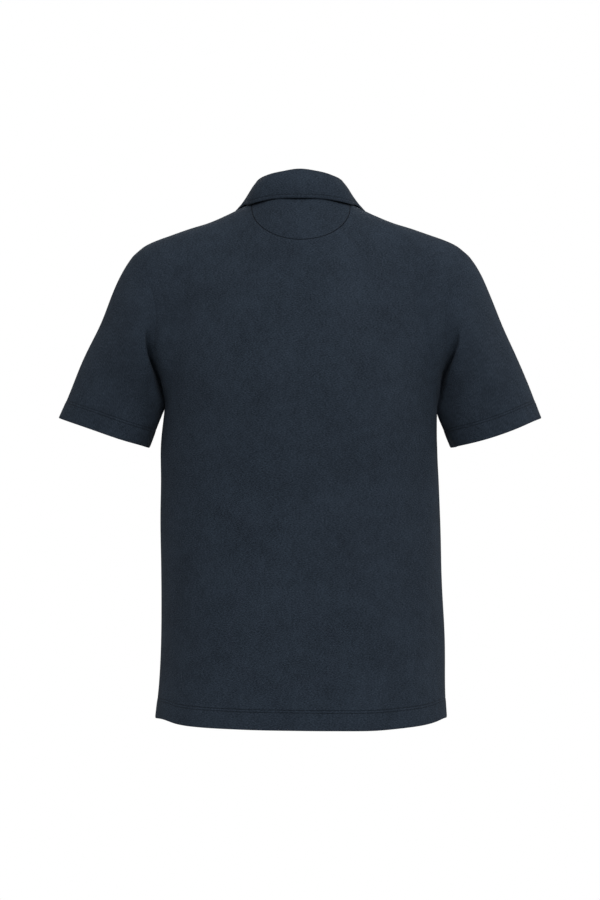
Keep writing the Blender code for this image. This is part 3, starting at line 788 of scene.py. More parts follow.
def add_stitches(bm, line, radius, length=STITCH_LENGTH, across=False):
    """Stitches of thread end to end along a line on the cloth, or side by side across it."""
    points, normals = line
    run = run_along(points)
    pitch = SATIN_PITCH * radius if across else length + STITCH_GAP
    count = max(1, round(run[-1] / pitch))
    at = (np.arange(count) + 0.5) * run[-1] / count
    place, behind, ahead = (interpolated(at + step, run, points) for step in (0.0, -STITCH_GAP, STITCH_GAP))
    up = unit(interpolated(at, run, normals))
    along = unit(ahead - behind)
    side = unit(np.cross(up, along))
    if across:
        side, along = along, -side
    for centre, n, t, s in zip(place, up, along, side):
        turned = Matrix((s * radius, n * radius, t * length / 2)).transposed().to_4x4()
        turned.translation = Vector(centre - n * radius * STITCH_SINK)
        bmesh.ops.create_uvsphere(bm, u_segments=6, v_segments=4, radius=1.0, matrix=turned)


def stitching(name, lines, **thread):
    bm = bmesh.new()
    for line in lines:
        add_stitches(bm, line, **thread)
    obj = link(name, bm, thread_material())
    dress(obj)
    return obj


# ---------------------------------------------------------------- body

PANEL_RIM = 0.0002
MOON_CORNER = 0.985          # of the half-moon's half width, where its edge meets the neck
MOON_POINTS = 181
MOON_DENT = Dent(0.0003, 0.0022)
MOON_THREAD = 0.00028
HEM_THREAD = 0.00019
HALVINGS = 30
PATCH_COLUMNS = 97
PATCH_HEIGHT = 0.060
PATCH_STEP = 0.0020
PATCH_GAP = 0.0004
PATCH_ROW = 0.0016
PATCH_DENT = Dent(0.0003, 0.0012)
PATCH_RIM = 0.0003


def half_moon(turn):
    """The numbers across and up of the half-moon's edge; turn runs -1 to 1, side to side."""
    corner = NECK_SHARE * math.asin(MOON_CORNER * PATCH_HALF_WIDTH / NECK_HALF_WIDTH) / (math.pi / 2)
    across = corner * np.sin(0.5 * math.pi * turn)
    low, high = np.full_like(across, 1.5), np.full_like(across, 2.0)
    for _ in range(HALVINGS):
        up = (low + high) / 2
        inside = from_half_moon(panel("back", across, up)) < 0
        low, high = np.where(inside, low, up), np.where(inside, up, high)
    return across, high


def from_half_moon(points):
    """The signed distance from the half-moon's edge, as seen from behind."""
    x, drop = points[..., 0] / PATCH_HALF_WIDTH, np.maximum(0.0, PATCH_LEVEL - points[..., 2]) / PATCH_DROP
    round_it = np.maximum(np.hypot(x, drop), TINY)
    slope = np.hypot(x / PATCH_HALF_WIDTH, drop / PATCH_DROP) / round_it
    return (round_it - 1.0) / np.maximum(slope, 1.0)


def lay_panel(depth, columns, ups):
    """The grid of the back or the front, and the relief of its seams and its hem."""
    cloth = lay_cloth(partial(panel, depth), *np.meshgrid(columns, ups))
    side = np.minimum(cloth.from_first, cloth.from_last)
    relief = dent(side, SEAM_DENT) + dent(cloth.from_high, SEAM_DENT) + hem_relief(cloth.from_low)
    return cloth, relief


def panel_seam(cloth):
    """The distance to the nearest seam of a panel: at its sides or its top."""
    return np.minimum(np.minimum(cloth.from_first, cloth.from_last), cloth.from_high)


def hem_plies(distance):
    """The share of two plies that the cloth has, which is all of it in a turned-up hem."""
    return np.where(distance < HEM_DEPTH + TINY, 1.0, 0.5)


def hem_stitches(name, cloth, distances):
    return stitching(name, [edge_line(cloth, distances, row) for row in HEM_ROWS], radius=HEM_THREAD)


class POLO_OT_back(bpy.types.Operator):
    """Make the back panel with its hem and the half-moon's line of stitches."""

    bl_idname = "polo.back"
    bl_label = "Back"

    def execute(self, context):
        cloth, relief = lay_panel("back", panel_columns(), panel_ups())
        cloth = raised(cloth, relief + dent(from_half_moon(cloth.points), MOON_DENT))
        lines = sewn_lines(cloth, cloth.from_low, panel_seam(cloth), from_half_moon(cloth.points))
        back = make_piece(
            "back_panel", cloth, "back", "body_knit", lines, 2 * sizes().knit, PANEL_RIM,
            hem_plies(cloth.from_low),
        )
        hem = hem_stitches("back_hem_stitches", cloth, cloth.from_low)
        edge = on_cloth(cloth, *half_moon(np.linspace(-1.0, 1.0, MOON_POINTS)))
        moon = stitching("half_moon_stitches", [edge], radius=MOON_THREAD)
        return {"FINISHED"}


class POLO_OT_front(bpy.types.Operator):
    """Make the front panel with its hem and the slit for the placket."""

    bl_idname = "polo.front"
    bl_label = "Front"

    def execute(self, context):
        cloth = raised(*lay_panel("front", panel_columns(PLACKET_SHARE), panel_ups(PLACKET_FOOT)))
        slit = (np.abs(cloth.a) < PLACKET_SHARE + TINY) & (cloth.b > PLACKET_FOOT - TINY)
        lines = sewn_lines(cloth, cloth.from_low, panel_seam(cloth))
        front = make_piece(
            "front_panel", cloth, "front", "body_knit", lines, 2 * sizes().knit, PANEL_RIM,
            hem_plies(cloth.from_low), cut_away=slit,
        )
        hem = hem_stitches("front_hem_stitches", cloth, cloth.from_low)
        return {"FINISHED"}


class POLO_OT_half_moon(bpy.types.Operator):
    """Make the half-moon patch inside the back of the neck."""

    bl_idname = "polo.half_moon"
    bl_label = "Half-Moon Patch"

    def execute(self, context):
        low_across, low_up = half_moon(np.linspace(-1.0, 1.0, PATCH_COLUMNS))
        rises = graded(PATCH_HEIGHT, PATCH_STEP, high=SEAM_LINES)
        b = low_up + (2.0 - low_up) * rises[:, None]
        a = np.broadcast_to(low_across, b.shape)
        cloth = lay_cloth(partial(panel, "back"), a, b, out=-(sizes().knit + PATCH_GAP))
        cloth = raised(cloth, dent(cloth.from_low - PATCH_ROW, PATCH_DENT))
        lines = sewn_lines(cloth, seam=cloth.from_high, row=cloth.from_low - PATCH_ROW)
        patch = make_piece(
            "half_moon_patch", cloth, "neck_patch", "body_knit", lines, sizes().knit, PATCH_RIM
        )
        return {"FINISHED"}


# ---------------------------------------------------------------- sleeves

SLEEVE_LINES = (*SEAM_LINES, *(0.0094 + 0.0013 * i for i in range(28)))
SLEEVE_ROWS = 54
UNDERARM_TURN = 0.50
FOLDS_TURN = 0.77            # the folds lie between the underarm and this turn, and so on the other side
CLOSE_COLUMNS = 82
WIDE_COLUMNS = 84


def lay_sleeve():
    """The sleeve's grid, closer where the armpits' folds run."""
    close = np.linspace(UNDERARM_TURN, FOLDS_TURN, CLOSE_COLUMNS)
    wide = np.linspace(FOLDS_TURN, 2.0 - FOLDS_TURN, WIDE_COLUMNS)[1:-1]
    turns = np.concatenate((close, wide, 2.0 - close[::-1]))
    downs = rows_by_distance(sleeve, turns, SLEEVE_LINES, HEM_LINES, SLEEVE_ROWS)
    return np.broadcast_to(turns, downs.shape), downs


class POLO_OT_sleeves(bpy.types.Operator):
    """Make the two sleeves with their turned-up cuffs."""

    bl_idname = "polo.sleeves"
    bl_label = "Sleeves"

    def execute(self, context):
        a, b = lay_sleeve()
        for side in ("left", "right"):
            surface = partial(cloth_point, f"sleeve_{side}")
            centre = surface(a, b).reshape(-1, 3).mean(axis=0)
            cloth = lay_cloth(surface, a, b, centre=centre, closed=True)
            underarm = np.minimum(cloth.from_first, cloth.from_last)
            relief = dent(cloth.from_low, SEAM_DENT) + dent(underarm, SEAM_DENT) + hem_relief(cloth.from_high)
            cloth = raised(cloth, relief)
            lines = sewn_lines(cloth, cloth.from_high, np.minimum(cloth.from_low, underarm))
            obj = make_piece(
                f"{side}_sleeve", cloth, f"sleeve_{side}", "body_knit", lines, 2 * sizes().knit, PANEL_RIM,
                hem_plies(cloth.from_high),
            )
            hem = hem_stitches(f"{side}_cuff_stitches", cloth, cloth.from_high)
        return {"FINISHED"}


# ---------------------------------------------------------------- collar

COLLAR_ROW = 0.0048          # of stitches, from the leaf's edge
COLLAR_EDGE_LINES = (0.0, 0.0006, 0.0014, 0.0024, 0.0036, 0.0043, COLLAR_ROW, 0.0053, 0.0060, 0.0072)
COLLAR_COLUMNS = 221
COLLAR_STITCH = 0.0026
LEAF_ROWS = 34
LEAF_START_LINES = (0.0, 0.0008)
LEAF_ROLL = Dent(0.0005, 0.0010)
LEAF_ROW_DENT = Dent(0.0003, 0.0010)
LEAF_RIM = 0.0006
STAND_HEIGHT = 0.038
STAND_STEP = 0.0025
STAND_RIM = 0.0003


def lay_leaf():
    turns = np.linspace(-COLLAR_END, COLLAR_END, COLLAR_COLUMNS)
    downs = rows_by_distance(collar_leaf, turns, LEAF_START_LINES, COLLAR_EDGE_LINES, LEAF_ROWS)
    cloth = lay_cloth(collar_leaf, np.broadcast_to(turns, downs.shape), downs)
    ends = np.minimum(cloth.from_first, cloth.from_last)
    edge = np.minimum(ends, cloth.from_high)
    return raised(cloth, dent(edge, LEAF_ROLL) + dent(edge - COLLAR_ROW, LEAF_ROW_DENT)), edge


class POLO_OT_collar(bpy.types.Operator):
    """Make the collar: the stand round the neck and the leaf that is turned down over it."""

    bl_idname = "polo.collar"
    bl_label = "Collar"

    def execute(self, context):
        cloth, edge = lay_leaf()
        lines = sewn_lines(cloth, row=edge - COLLAR_ROW)
        leaf = make_piece(
            "collar_fall", cloth, "collar_leaf", "collar_knit", lines, sizes().collar_knit, LEAF_RIM
        )
        low, normals = edge_line(cloth, cloth.from_high, COLLAR_ROW)
        inside = (cloth.from_first[-1] > COLLAR_ROW) & (cloth.from_last[-1] > COLLAR_ROW)
        rows = [(low[inside], normals[inside])]
        for distances in (cloth.from_first, cloth.from_last):
            points, normals = edge_line(cloth, distances, COLLAR_ROW, by_column=False)
            fall = (cloth.from_high[:, 0] > COLLAR_ROW) & (cloth.b[:, 0] > 0.5)
            rows.append((points[fall], normals[fall]))
        middle = cloth.a.shape[1] // 2
        tack = (cloth.from_high[:, middle] < COLLAR_ROW) & (cloth.b[:, 0] > 0.5)
        rows.append((cloth.points[tack, middle], cloth.normals[tack, middle]))
        stitches = stitching("collar_edge_stitches", rows, radius=HEM_THREAD, length=COLLAR_STITCH)

        turns = np.linspace(-COLLAR_END, COLLAR_END, COLLAR_COLUMNS)
        cloth = lay_cloth(collar_stand, *np.meshgrid(turns, graded(STAND_HEIGHT, STAND_STEP)))
        lines = sewn_lines(cloth, seam=cloth.from_low)
        stand = make_piece(
            "collar_stand_band", cloth, "collar_stand", "collar_knit", lines, sizes().collar_knit, STAND_RIM
        )
        return {"FINISHED"}


# ---------------------------------------------------------------- placket and buttons

PLACKET_ROW = 0.0018         # from its edges
PLACKET_BOX = 0.0180         # from its foot
PLACKET_LIFT = 0.0014
PLACKET_COLUMNS = 25
PLACKET_STEP = 0.0022
PLACKET_ROLL = Dent(0.0004, 0.0009)
PLACKET_ROW_DENT = Dent(0.0003, 0.0009)
PLACKET_STITCH = 0.0026
PLACKET_THREAD = 0.00028
UPPER_RIM = 0.0004
UNDER_RIM = 0.0003
BUTTONHOLE_HALF_WIDTH = 0.0011
BUTTONHOLE_HALF_HEIGHT = 0.0072
BUTTONHOLE_POINTS = 49
BUTTONHOLE_STITCH = 0.0016
BUTTONHOLE_THREAD = 0.00022

# each point of a button's side, from the middle of its back round to the middle of its face:
# a share of its radius, and a share of its thickness
BUTTON_BACK = [(0.0, 0.0), (0.70, 0.0), (0.88, 0.14)]
BUTTON_RIM = [(0.985, 0.42), (1.0, 0.58), (0.985, 0.76), (0.95, 0.90), (0.90, 0.98), (0.84, 1.0)]
BUTTON_DISH = [(0.76, 0.95), (0.70, 0.84), (0.64, 0.74), (0.56, 0.70), (0.30, 0.68), (0.0, 0.67)]
BUTTON_STEPS = 48
BUTTON_SHARP = math.radians(40.0)
HOLE_OFFSET = 0.0014
HOLE_RADIUS = 0.0008
BAR_HALF_SIZE = (0.00026, 0.0019, 0.00030)
BAR_LANE = 0.00022
BAR_RISE = 0.70              # of the button's thickness
SHANK_RADIUS = 0.0012


def lay_placket(half_share, low, out):
    ups = low + (2.0 - low) * graded((2.0 - low) * ARMHOLE_HEIGHT, PLACKET_STEP)
    columns = np.linspace(-half_share, half_share, PLACKET_COLUMNS)
    return lay_cloth(partial(panel, "front"), *np.meshgrid(columns, ups), out=out)


def lay_upper_placket():
    out = sizes().knit + PLACKET_LIFT
    cloth = lay_placket(PLACKET_SHARE + PLACKET_LAP, PLACKET_FOOT - PLACKET_LAP, out)
    edge = np.minimum(np.minimum(cloth.from_first, cloth.from_last), cloth.from_low)
    return raised(cloth, dent(edge, PLACKET_ROLL) + dent(edge - PLACKET_ROW, PLACKET_ROW_DENT)), edge


def button_place(level):
    """The point on the upper placket's middle at a level, and its normal."""
    cloth, _ = lay_upper_placket()
    middle = cloth.points.shape[1] // 2
    column, normals = cloth.points[:, middle], cloth.normals[:, middle]
    return interpolated(level, column[:, 2], column), unit(interpolated(level, column[:, 2], normals))


class POLO_OT_placket(bpy.types.Operator):
    """Make the placket's upper and under strips, their stitches and the buttonholes."""

    bl_idname = "polo.placket"
    bl_label = "Placket"

    def execute(self, context):
        gap = SEAM_GAP / (NECK_HALF_WIDTH / NECK_SHARE * math.pi / 2)
        cloth = lay_placket(PLACKET_SHARE - gap, PLACKET_FOOT + gap, 0.0)
        obj = make_piece(
            "under_placket", cloth, "placket_under", "body_knit", sewn_lines(cloth), sizes().knit, UNDER_RIM
        )

        cloth, edge = lay_upper_placket()
        lines = sewn_lines(cloth, row=edge - PLACKET_ROW)
        obj = make_piece("upper_placket", cloth, "placket_upper", "body_knit", lines, sizes().knit, UPPER_RIM)
        rows = [
            edge_line(cloth, cloth.from_first, PLACKET_ROW, by_column=False),
            edge_line(cloth, cloth.from_last, PLACKET_ROW, by_column=False),
            edge_line(cloth, cloth.from_low, PLACKET_ROW),
            edge_line(cloth, cloth.from_low, PLACKET_BOX),
        ]
        stitches = stitching("placket_stitches", rows, radius=PLACKET_THREAD, length=PLACKET_STITCH)
        holes = stitching(
            "buttonholes", [self.buttonhole(level) for level in BUTTON_LEVELS], radius=BUTTONHOLE_THREAD,
            length=BUTTONHOLE_STITCH, across=True,
        )
        return {"FINISHED"}

    def buttonhole(self, level):
        """The line round an upright buttonhole."""
        turn = np.linspace(0.0, 2 * math.pi, BUTTONHOLE_POINTS)[:, None]
        out, rise = BUTTONHOLE_HALF_WIDTH * np.cos(turn), BUTTONHOLE_HALF_HEIGHT * np.sin(turn)
        point, normal = button_place(level)
        side = unit(np.cross(np.array((0.0, 0.0, 1.0)), normal))
        line = point + side * out + np.cross(normal, side) * rise
        return line, np.broadcast_to(normal, line.shape)


class POLO_OT_buttons(bpy.types.Operator):
    """Turn the three four-hole buttons and sew them on."""

    bl_idname = "polo.buttons"
    bl_label = "Buttons"

    def execute(self, context):
        for number, level in enumerate(BUTTON_LEVELS, start=1):
            point, normal = button_place(level)
            turned = Vector(normal).to_track_quat("Z", "Y").to_matrix().to_4x4()
            place = Matrix.Translation(Vector(point + normal * BUTTON_LIFT)) @ turned
            button = self.button(f"shirt_button_{number}", place)
            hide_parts(f"button_{number}")
            dress(button)
            dress(self.sewing(f"button_thread_{number}", place))
        return {"FINISHED"}

    def button(self, name, place):
        bm = bmesh.new()
        r, t = sizes().button_radius, sizes().button_thickness
        profile = BUTTON_BACK + BUTTON_RIM + BUTTON_DISH
        verts = [bm.verts.new((share * r, 0.0, rise * t)) for share, rise in profile]
        edges = [bm.edges.new(pair) for pair in zip(verts, verts[1:])]
        bmesh.ops.spin(
            bm, geom=verts + edges, cent=(0, 0, 0), axis=(0, 0, 1), angle=2 * math.pi, steps=BUTTON_STEPS,
            use_merge=True,
        )
        bmesh.ops.remove_doubles(bm, verts=bm.verts, dist=TINY)
        bmesh.ops.recalc_face_normals(bm, faces=bm.faces)
        blank = link(name + "_blank", bm, button_material())
        bm = bmesh.new()
        for x in (-HOLE_OFFSET, HOLE_OFFSET):
            for y in (-HOLE_OFFSET, HOLE_OFFSET):
                bmesh.ops.create_cone(
                    bm, cap_ends=True, segments=20, radius1=HOLE_RADIUS, radius2=HOLE_RADIUS, depth=4 * t,
                    matrix=Matrix.Translation((x, y, t / 2)),
                )
        drill = link(name + "_drill", bm, button_material())
        cut = blank.modifiers.new("holes", "BOOLEAN")
        cut.object = drill
        cut.operation = "DIFFERENCE"
        cut.solver = "EXACT"
        bpy.context.view_layer.update()
        mesh = bpy.data.meshes.new_from_object(blank.evaluated_get(bpy.context.evaluated_depsgraph_get()))
        bpy.data.objects.remove(drill)
        bpy.data.objects.remove(blank)
        mesh.name = name
        mesh.transform(place)
        mesh.shade_smooth()
        mesh.set_sharp_from_angle(angle=BUTTON_SHARP)
        button = bpy.data.objects.new(name, mesh)
        bpy.context.scene.collection.objects.link(button)
        return button

    def sewing(self, name, place):
        """Two pairs of threads through the four holes, and the shank under the button."""
        bm = bmesh.new()
        for x in (-HOLE_OFFSET, HOLE_OFFSET):
            for lane in (-BAR_LANE, BAR_LANE):
                bar = Matrix.Diagonal((*BAR_HALF_SIZE, 1.0))
                bar.translation = (x + lane, 0.0, BAR_RISE * sizes().button_thickness)
                bmesh.ops.create_uvsphere(bm, u_segments=8, v_segments=6, radius=1.0, matrix=place @ bar)
        shank = Matrix.Translation((0.0, 0.0, -BUTTON_LIFT / 2))
        bmesh.ops.create_cone(
            bm, cap_ends=True, segments=12, radius1=SHANK_RADIUS, radius2=SHANK_RADIUS, depth=BUTTON_LIFT,
            matrix=place @ shank,
        )
        return link(name, bm, thread_material())


# ---------------------------------------------------------------- materials

Knit = namedtuple("Knit", "wale course bump row_share")
BODY_FINISH = Knit(wale=0.0015, course=0.0011, bump=0.00022, row_share=1.0)
COLLAR_FINISH = Knit(wale=0.0018, course=0.0012, bump=0.00028, row_share=0.25)
DARK_SHARE = 0.45            # of the knit's colour, at the dark end of its random heather and in the yarn's gaps, where the cells paint shade
LIGHT_SHARE = 1.55           # and at its light end, and on its loops, where the cells paint light
# multiplies the knit's colour along seams and rows of stitches: painted shade of their grooves
PAINTED_GROOVE_SHADE_TINT = (0.16, 0.18, 0.20, 1.0)
SHEEN_TINT = (0.78, 0.87, 1.0, 1.0)

# The scales of the patterns are in cells a metre, as all of them lie on places in metres.
WANDER_SCALE = 160.0
WANDER = 0.0007              # of the cells from their straight rows, in metres
SLUB_SLANT = math.radians(24.0)
SLUB_SCALE = 330.0
SLUB_SQUASH = (1.0, 3.0, 1.0)
FLECK_SCALE = 420.0
FLECK_SQUASH = (1.0, 2.2, 1.0)
FUZZ_SCALE = 900.0
FUZZ_SHARE = 0.6
# slow random patches of the knit's tone that partly stand in for the drape's soft shading: painted shade and
# light
CLOUD_SCALES = (22.0, 95.0)
TWIST_SCALE = 2600.0
SWIRL_SCALE = 420.0
GRAIN_SCALE = 3000.0


class Wires:
    """Short ways to add and join nodes in one tree."""

    def __init__(self, tree):
        self.tree = tree

    def node(self, kind, **settings):
        node = self.tree.nodes.new(kind)
        for key, value in settings.items():
            setattr(node, key, value)
        return node

    def join(self, source, target):
        """Link a socket to an input, or set the input to a value."""
        if isinstance(source, bpy.types.NodeSocket):
            self.tree.links.new(source, target)
        else:
            target.default_value = source

    def feed(self, node, values):
        """Join each value to the node's input of its name."""
        for name, value in values.items():
            self.join(value, node.inputs[name])
        return node

    def math(self, operation, *values, clamp=False):
        node = self.node("ShaderNodeMath", operation=operation, use_clamp=clamp)
        for value, socket in zip(values, node.inputs):
            self.join(value, socket)
        return node.outputs[0]

    def fade(self, distance, low, high, at_low=1.0, at_high=0.0):
        node = self.node("ShaderNodeMapRange", interpolation_type="SMOOTHSTEP")
        for value, socket in zip((distance, low, high, at_low, at_high), node.inputs):
            self.join(value, socket)
        return node.outputs["Result"]

    def noise(self, vector, scale, detail=2.0, roughness=0.5, output="Fac"):
        node = self.node("ShaderNodeTexNoise")
        self.feed(node, {"Vector": vector, "Scale": scale, "Detail": detail, "Roughness": roughness})
        return node.outputs[output]

    def mapped(self, vector, scale, turn=0.0):
        """A pattern's place, turned in its plane and then scaled."""
        node = self.node("ShaderNodeMapping")
        return self.feed(node, {"Vector": vector, "Rotation": (0.0, 0.0, turn), "Scale": scale}).outputs[0]

    def mix(self, share, first, second, **settings):
        """The colour between two, by a share."""
        node = self.node("ShaderNodeMix", data_type="RGBA", **settings)
        return self.feed(node, {"Factor": share, "A": first, "B": second}).outputs["Result"]

    def bump(self, height, distance):
        node = self.node("ShaderNodeBump")
        return self.feed(node, {"Distance": distance, "Height": height}).outputs["Normal"]


def shade(colour, share):
    """A darker or lighter share of a colour."""
    return (*(share * part for part in colour), 1.0)


def group_of(name, inputs, outputs, pattern):
    """The node group of a name, which a pattern's function fills when it is first asked for."""
    if name not in bpy.data.node_groups:
        group = bpy.data.node_groups.new(name, "ShaderNodeTree")
        for label, value in inputs.items():
            kind = "NodeSocketColor" if isinstance(value, tuple) else "NodeSocketFloat"
            group.interface.new_socket(label, in_out="INPUT", socket_type=kind).default_value = value
        for label in outputs:
            kind = "NodeSocketColor" if label == "Color" else "NodeSocketFloat"
            group.interface.new_socket(label, in_out="OUTPUT", socket_type=kind)
        w = Wires(group)
        given, result = w.node("NodeGroupInput"), w.node("NodeGroupOutput")
        w.feed(result, pattern(w, given.outputs))
    return bpy.data.node_groups[name]


def knit_pattern(w, given):
    """A fine knit: staggered cells that paint shade in the yarn's gaps and light on its loops, a soft heather
    and slow clouds that are partly painted shade, on the cut's own map in metres.
    """
    cut = w.node("ShaderNodeUVMap", uv_map="cut").outputs["UV"]
    wander = w.node("ShaderNodeVectorMath", operation="MULTIPLY_ADD")
    shift = w.noise(cut, WANDER_SCALE, output="Color")
    for value, socket in zip((shift, (WANDER, WANDER, 0.0), cut), wander.inputs):
        w.join(value, socket)
    parts = w.node("ShaderNodeSeparateXYZ")
    w.join(wander.outputs[0], parts.inputs[0])
    waves = []
    for axis, size in (("X", "Wale Width"), ("Y", "Course Height")):
        turns = w.math("DIVIDE", w.math("MULTIPLY", parts.outputs[axis], 2 * math.pi), given[size])
        waves.append(w.math("COSINE", turns))
    cells = w.math("MULTIPLY_ADD", w.math("MULTIPLY", *waves), 0.5, 0.5)
    slubs = w.noise(w.mapped(cut, SLUB_SQUASH, SLUB_SLANT), SLUB_SCALE, detail=3.0, roughness=0.6)
    flecks = w.noise(w.mapped(cut, FLECK_SQUASH), FLECK_SCALE, detail=3.0, roughness=0.6)
    mottling = w.math("SUBTRACT", w.math("ADD", slubs, flecks), 1.0)
    drift = heather = w.math("MULTIPLY", mottling, given["Heather"])
    place = w.node("ShaderNodeTexCoord").outputs["Object"]
    # slow clouds: random patches, partly painted shade and light of the drape
    for scale in CLOUD_SCALES:
        clouds = w.math("SUBTRACT", w.noise(place, scale, detail=3.0), 0.5)
        drift = w.math("ADD", drift, w.math("MULTIPLY", clouds, given["Clouds"]))
    # the cells make the yarn's gaps darker and its loops lighter: painted shade and painted light, on top of
    # the heather and clouds
    weight = w.math("ADD", drift, w.math("MULTIPLY_ADD", cells, 0.16, 0.42), clamp=True)
    return {
        "Color": w.mix(weight, given["Dark"], given["Light"]),
        "Height": w.math("ADD", cells, w.math("MULTIPLY", w.noise(cut, FUZZ_SCALE), FUZZ_SHARE)),
        "Roughness": w.math("MULTIPLY_ADD", heather, -0.5, 0.88, clamp=True),
    }


def sewn_pattern(w, given):
    """Where seams and rows of stitches draw the knit in: a mask, from the piece's own distances, that dents
    the knit and darkens it with painted shade.
    """
    lines = [("from_hem", row, "Stitch Width", "Hem Share") for row in HEM_ROWS]
    lines += [("from_row", 0.0, "Stitch Width", "Row Share"), ("from_seam", 0.0, "Seam Width", "Seam Share")]
    mask = 0.0
    for name, at, width, share in lines:
        distance = w.node("ShaderNodeAttribute", attribute_name=name).outputs["Fac"]
        far = w.math("ABSOLUTE", w.math("SUBTRACT", distance, at))
        line = w.math("MULTIPLY", w.fade(far, 0.0, given[width]), given[share])
        mask = w.math("MAXIMUM", line, mask)
    return {"Drawn In": mask}


def knit_group():
    values = {
        "Wale Width": 0.0015, "Course Height": 0.0011, "Heather": 0.16, "Clouds": 0.08,
        "Dark": (0.02, 0.03, 0.04, 1.0), "Light": (0.04, 0.05, 0.06, 1.0),
    }
    return group_of("Fine Knit", values, ("Color", "Height", "Roughness"), knit_pattern)


def sewn_group():
    values = {
        "Stitch Width": 0.0011, "Hem Share": 0.50, "Row Share": 1.0, "Seam Width": 0.0006, "Seam Share": 0.05,
    }
    return group_of("Sewn Lines", values, ("Drawn In",), sewn_pattern)


def material_of(name, finish, *values):
    """The material of a name, which a finish's function fills when it is first asked for."""
    if name not in bpy.data.materials:
        material = bpy.data.materials.new(name)
        material.use_nodes = True
        w = Wires(material.node_tree)
        w.feed(material.node_tree.nodes["Principled BSDF"], finish(w, *values))
    return bpy.data.materials[name]


def knit_finish(w, colour, size):
    knit = w.node("ShaderNodeGroup", node_tree=knit_group())
    w.feed(knit, {
        "Wale Width": size.wale, "Course Height": size.course, "Heather": look().heather,
        "Clouds": look().clouds, "Dark": shade(colour, DARK_SHARE), "Light": shade(colour, LIGHT_SHARE),
    })
    sewn = w.node("ShaderNodeGroup", node_tree=sewn_group())
    groove_and_painted_shade = w.feed(sewn, {"Row Share": size.row_share}).outputs["Drawn In"]
    return {
        # the knit is darkened along seams and rows of stitches as painted shade of their grooves; the same
        # mask dents its bump
        "Base Color": w.mix(groove_and_painted_shade, knit.outputs["Color"], PAINTED_GROOVE_SHADE_TINT, blend_type="MULTIPLY"),
        "Roughness": knit.outputs["Roughness"],
        "Normal": w.bump(w.math("SUBTRACT", knit.outputs["Height"], groove_and_painted_shade), size.bump),
        "Specular IOR Level": 0.06,
        "Sheen Weight": look().sheen,
        "Sheen Roughness": 0.45,
        "Sheen Tint": SHEEN_TINT,
    }


def thread_finish(w):
    twist = w.noise(w.node("ShaderNodeTexCoord").outputs["Object"], TWIST_SCALE, detail=1.0)
    colour = look().thread_colour
    return {
        "Base Color": w.mix(twist, shade(colour, 0.7), shade(colour, 1.3)),
        "Normal": w.bump(twist, 0.0001),
        "Roughness": 0.6,
        "Specular IOR Level": 0.1,
        "Sheen Weight": 0.05,
    }


def button_finish(w):
    place = w.node("ShaderNodeTexCoord").outputs["Object"]
    swirl = w.noise(place, SWIRL_SCALE, detail=4.0, roughness=0.6)
    colour = look().button_colour
    return {
        "Base Color": w.mix(swirl, shade(colour, 0.8), shade(colour, 1.25)),
        "Roughness": w.math("MULTIPLY_ADD", swirl, 0.16, 0.30),
        "Normal": w.bump(w.noise(place, GRAIN_SCALE, detail=1.0), 0.00003),
        "Specular IOR Level": 0.28,
    }


def body_material():
    return material_of("Body Knit", knit_finish, look().body_colour, BODY_FINISH)


def collar_material():
    return material_of("Collar Knit", knit_finish, look().collar_colour, COLLAR_FINISH)


def thread_material():
    return material_of("Sewing Thread", thread_finish)


def button_material():
    return material_of("Satin Button", button_finish)


def floor_material():
    return material_of("Pale Floor", lambda w: {"Base Color": (0.84, 0.84, 0.84, 1.0), "Roughness": 0.9})


# ---------------------------------------------------------------- stage

CAMERA_DISTANCE = 2.8
CAMERA_LEVEL = -0.329
VIEW_HEIGHT = 1.251          # of the plane of the side seams, from the frame's foot to its top
CAMERA_SHIFT = -0.001
SENSOR = 36.0
FLOOR_LEVEL = -1.45
FLOOR_RADIUS = 2.0
SKY_LOW, SKY_HIGH = -0.3, 1.0    # of a direction's rise, between which the sky grows from dim to bright
SKY_DIM, SKY_BRIGHT = 0.36, 1.65


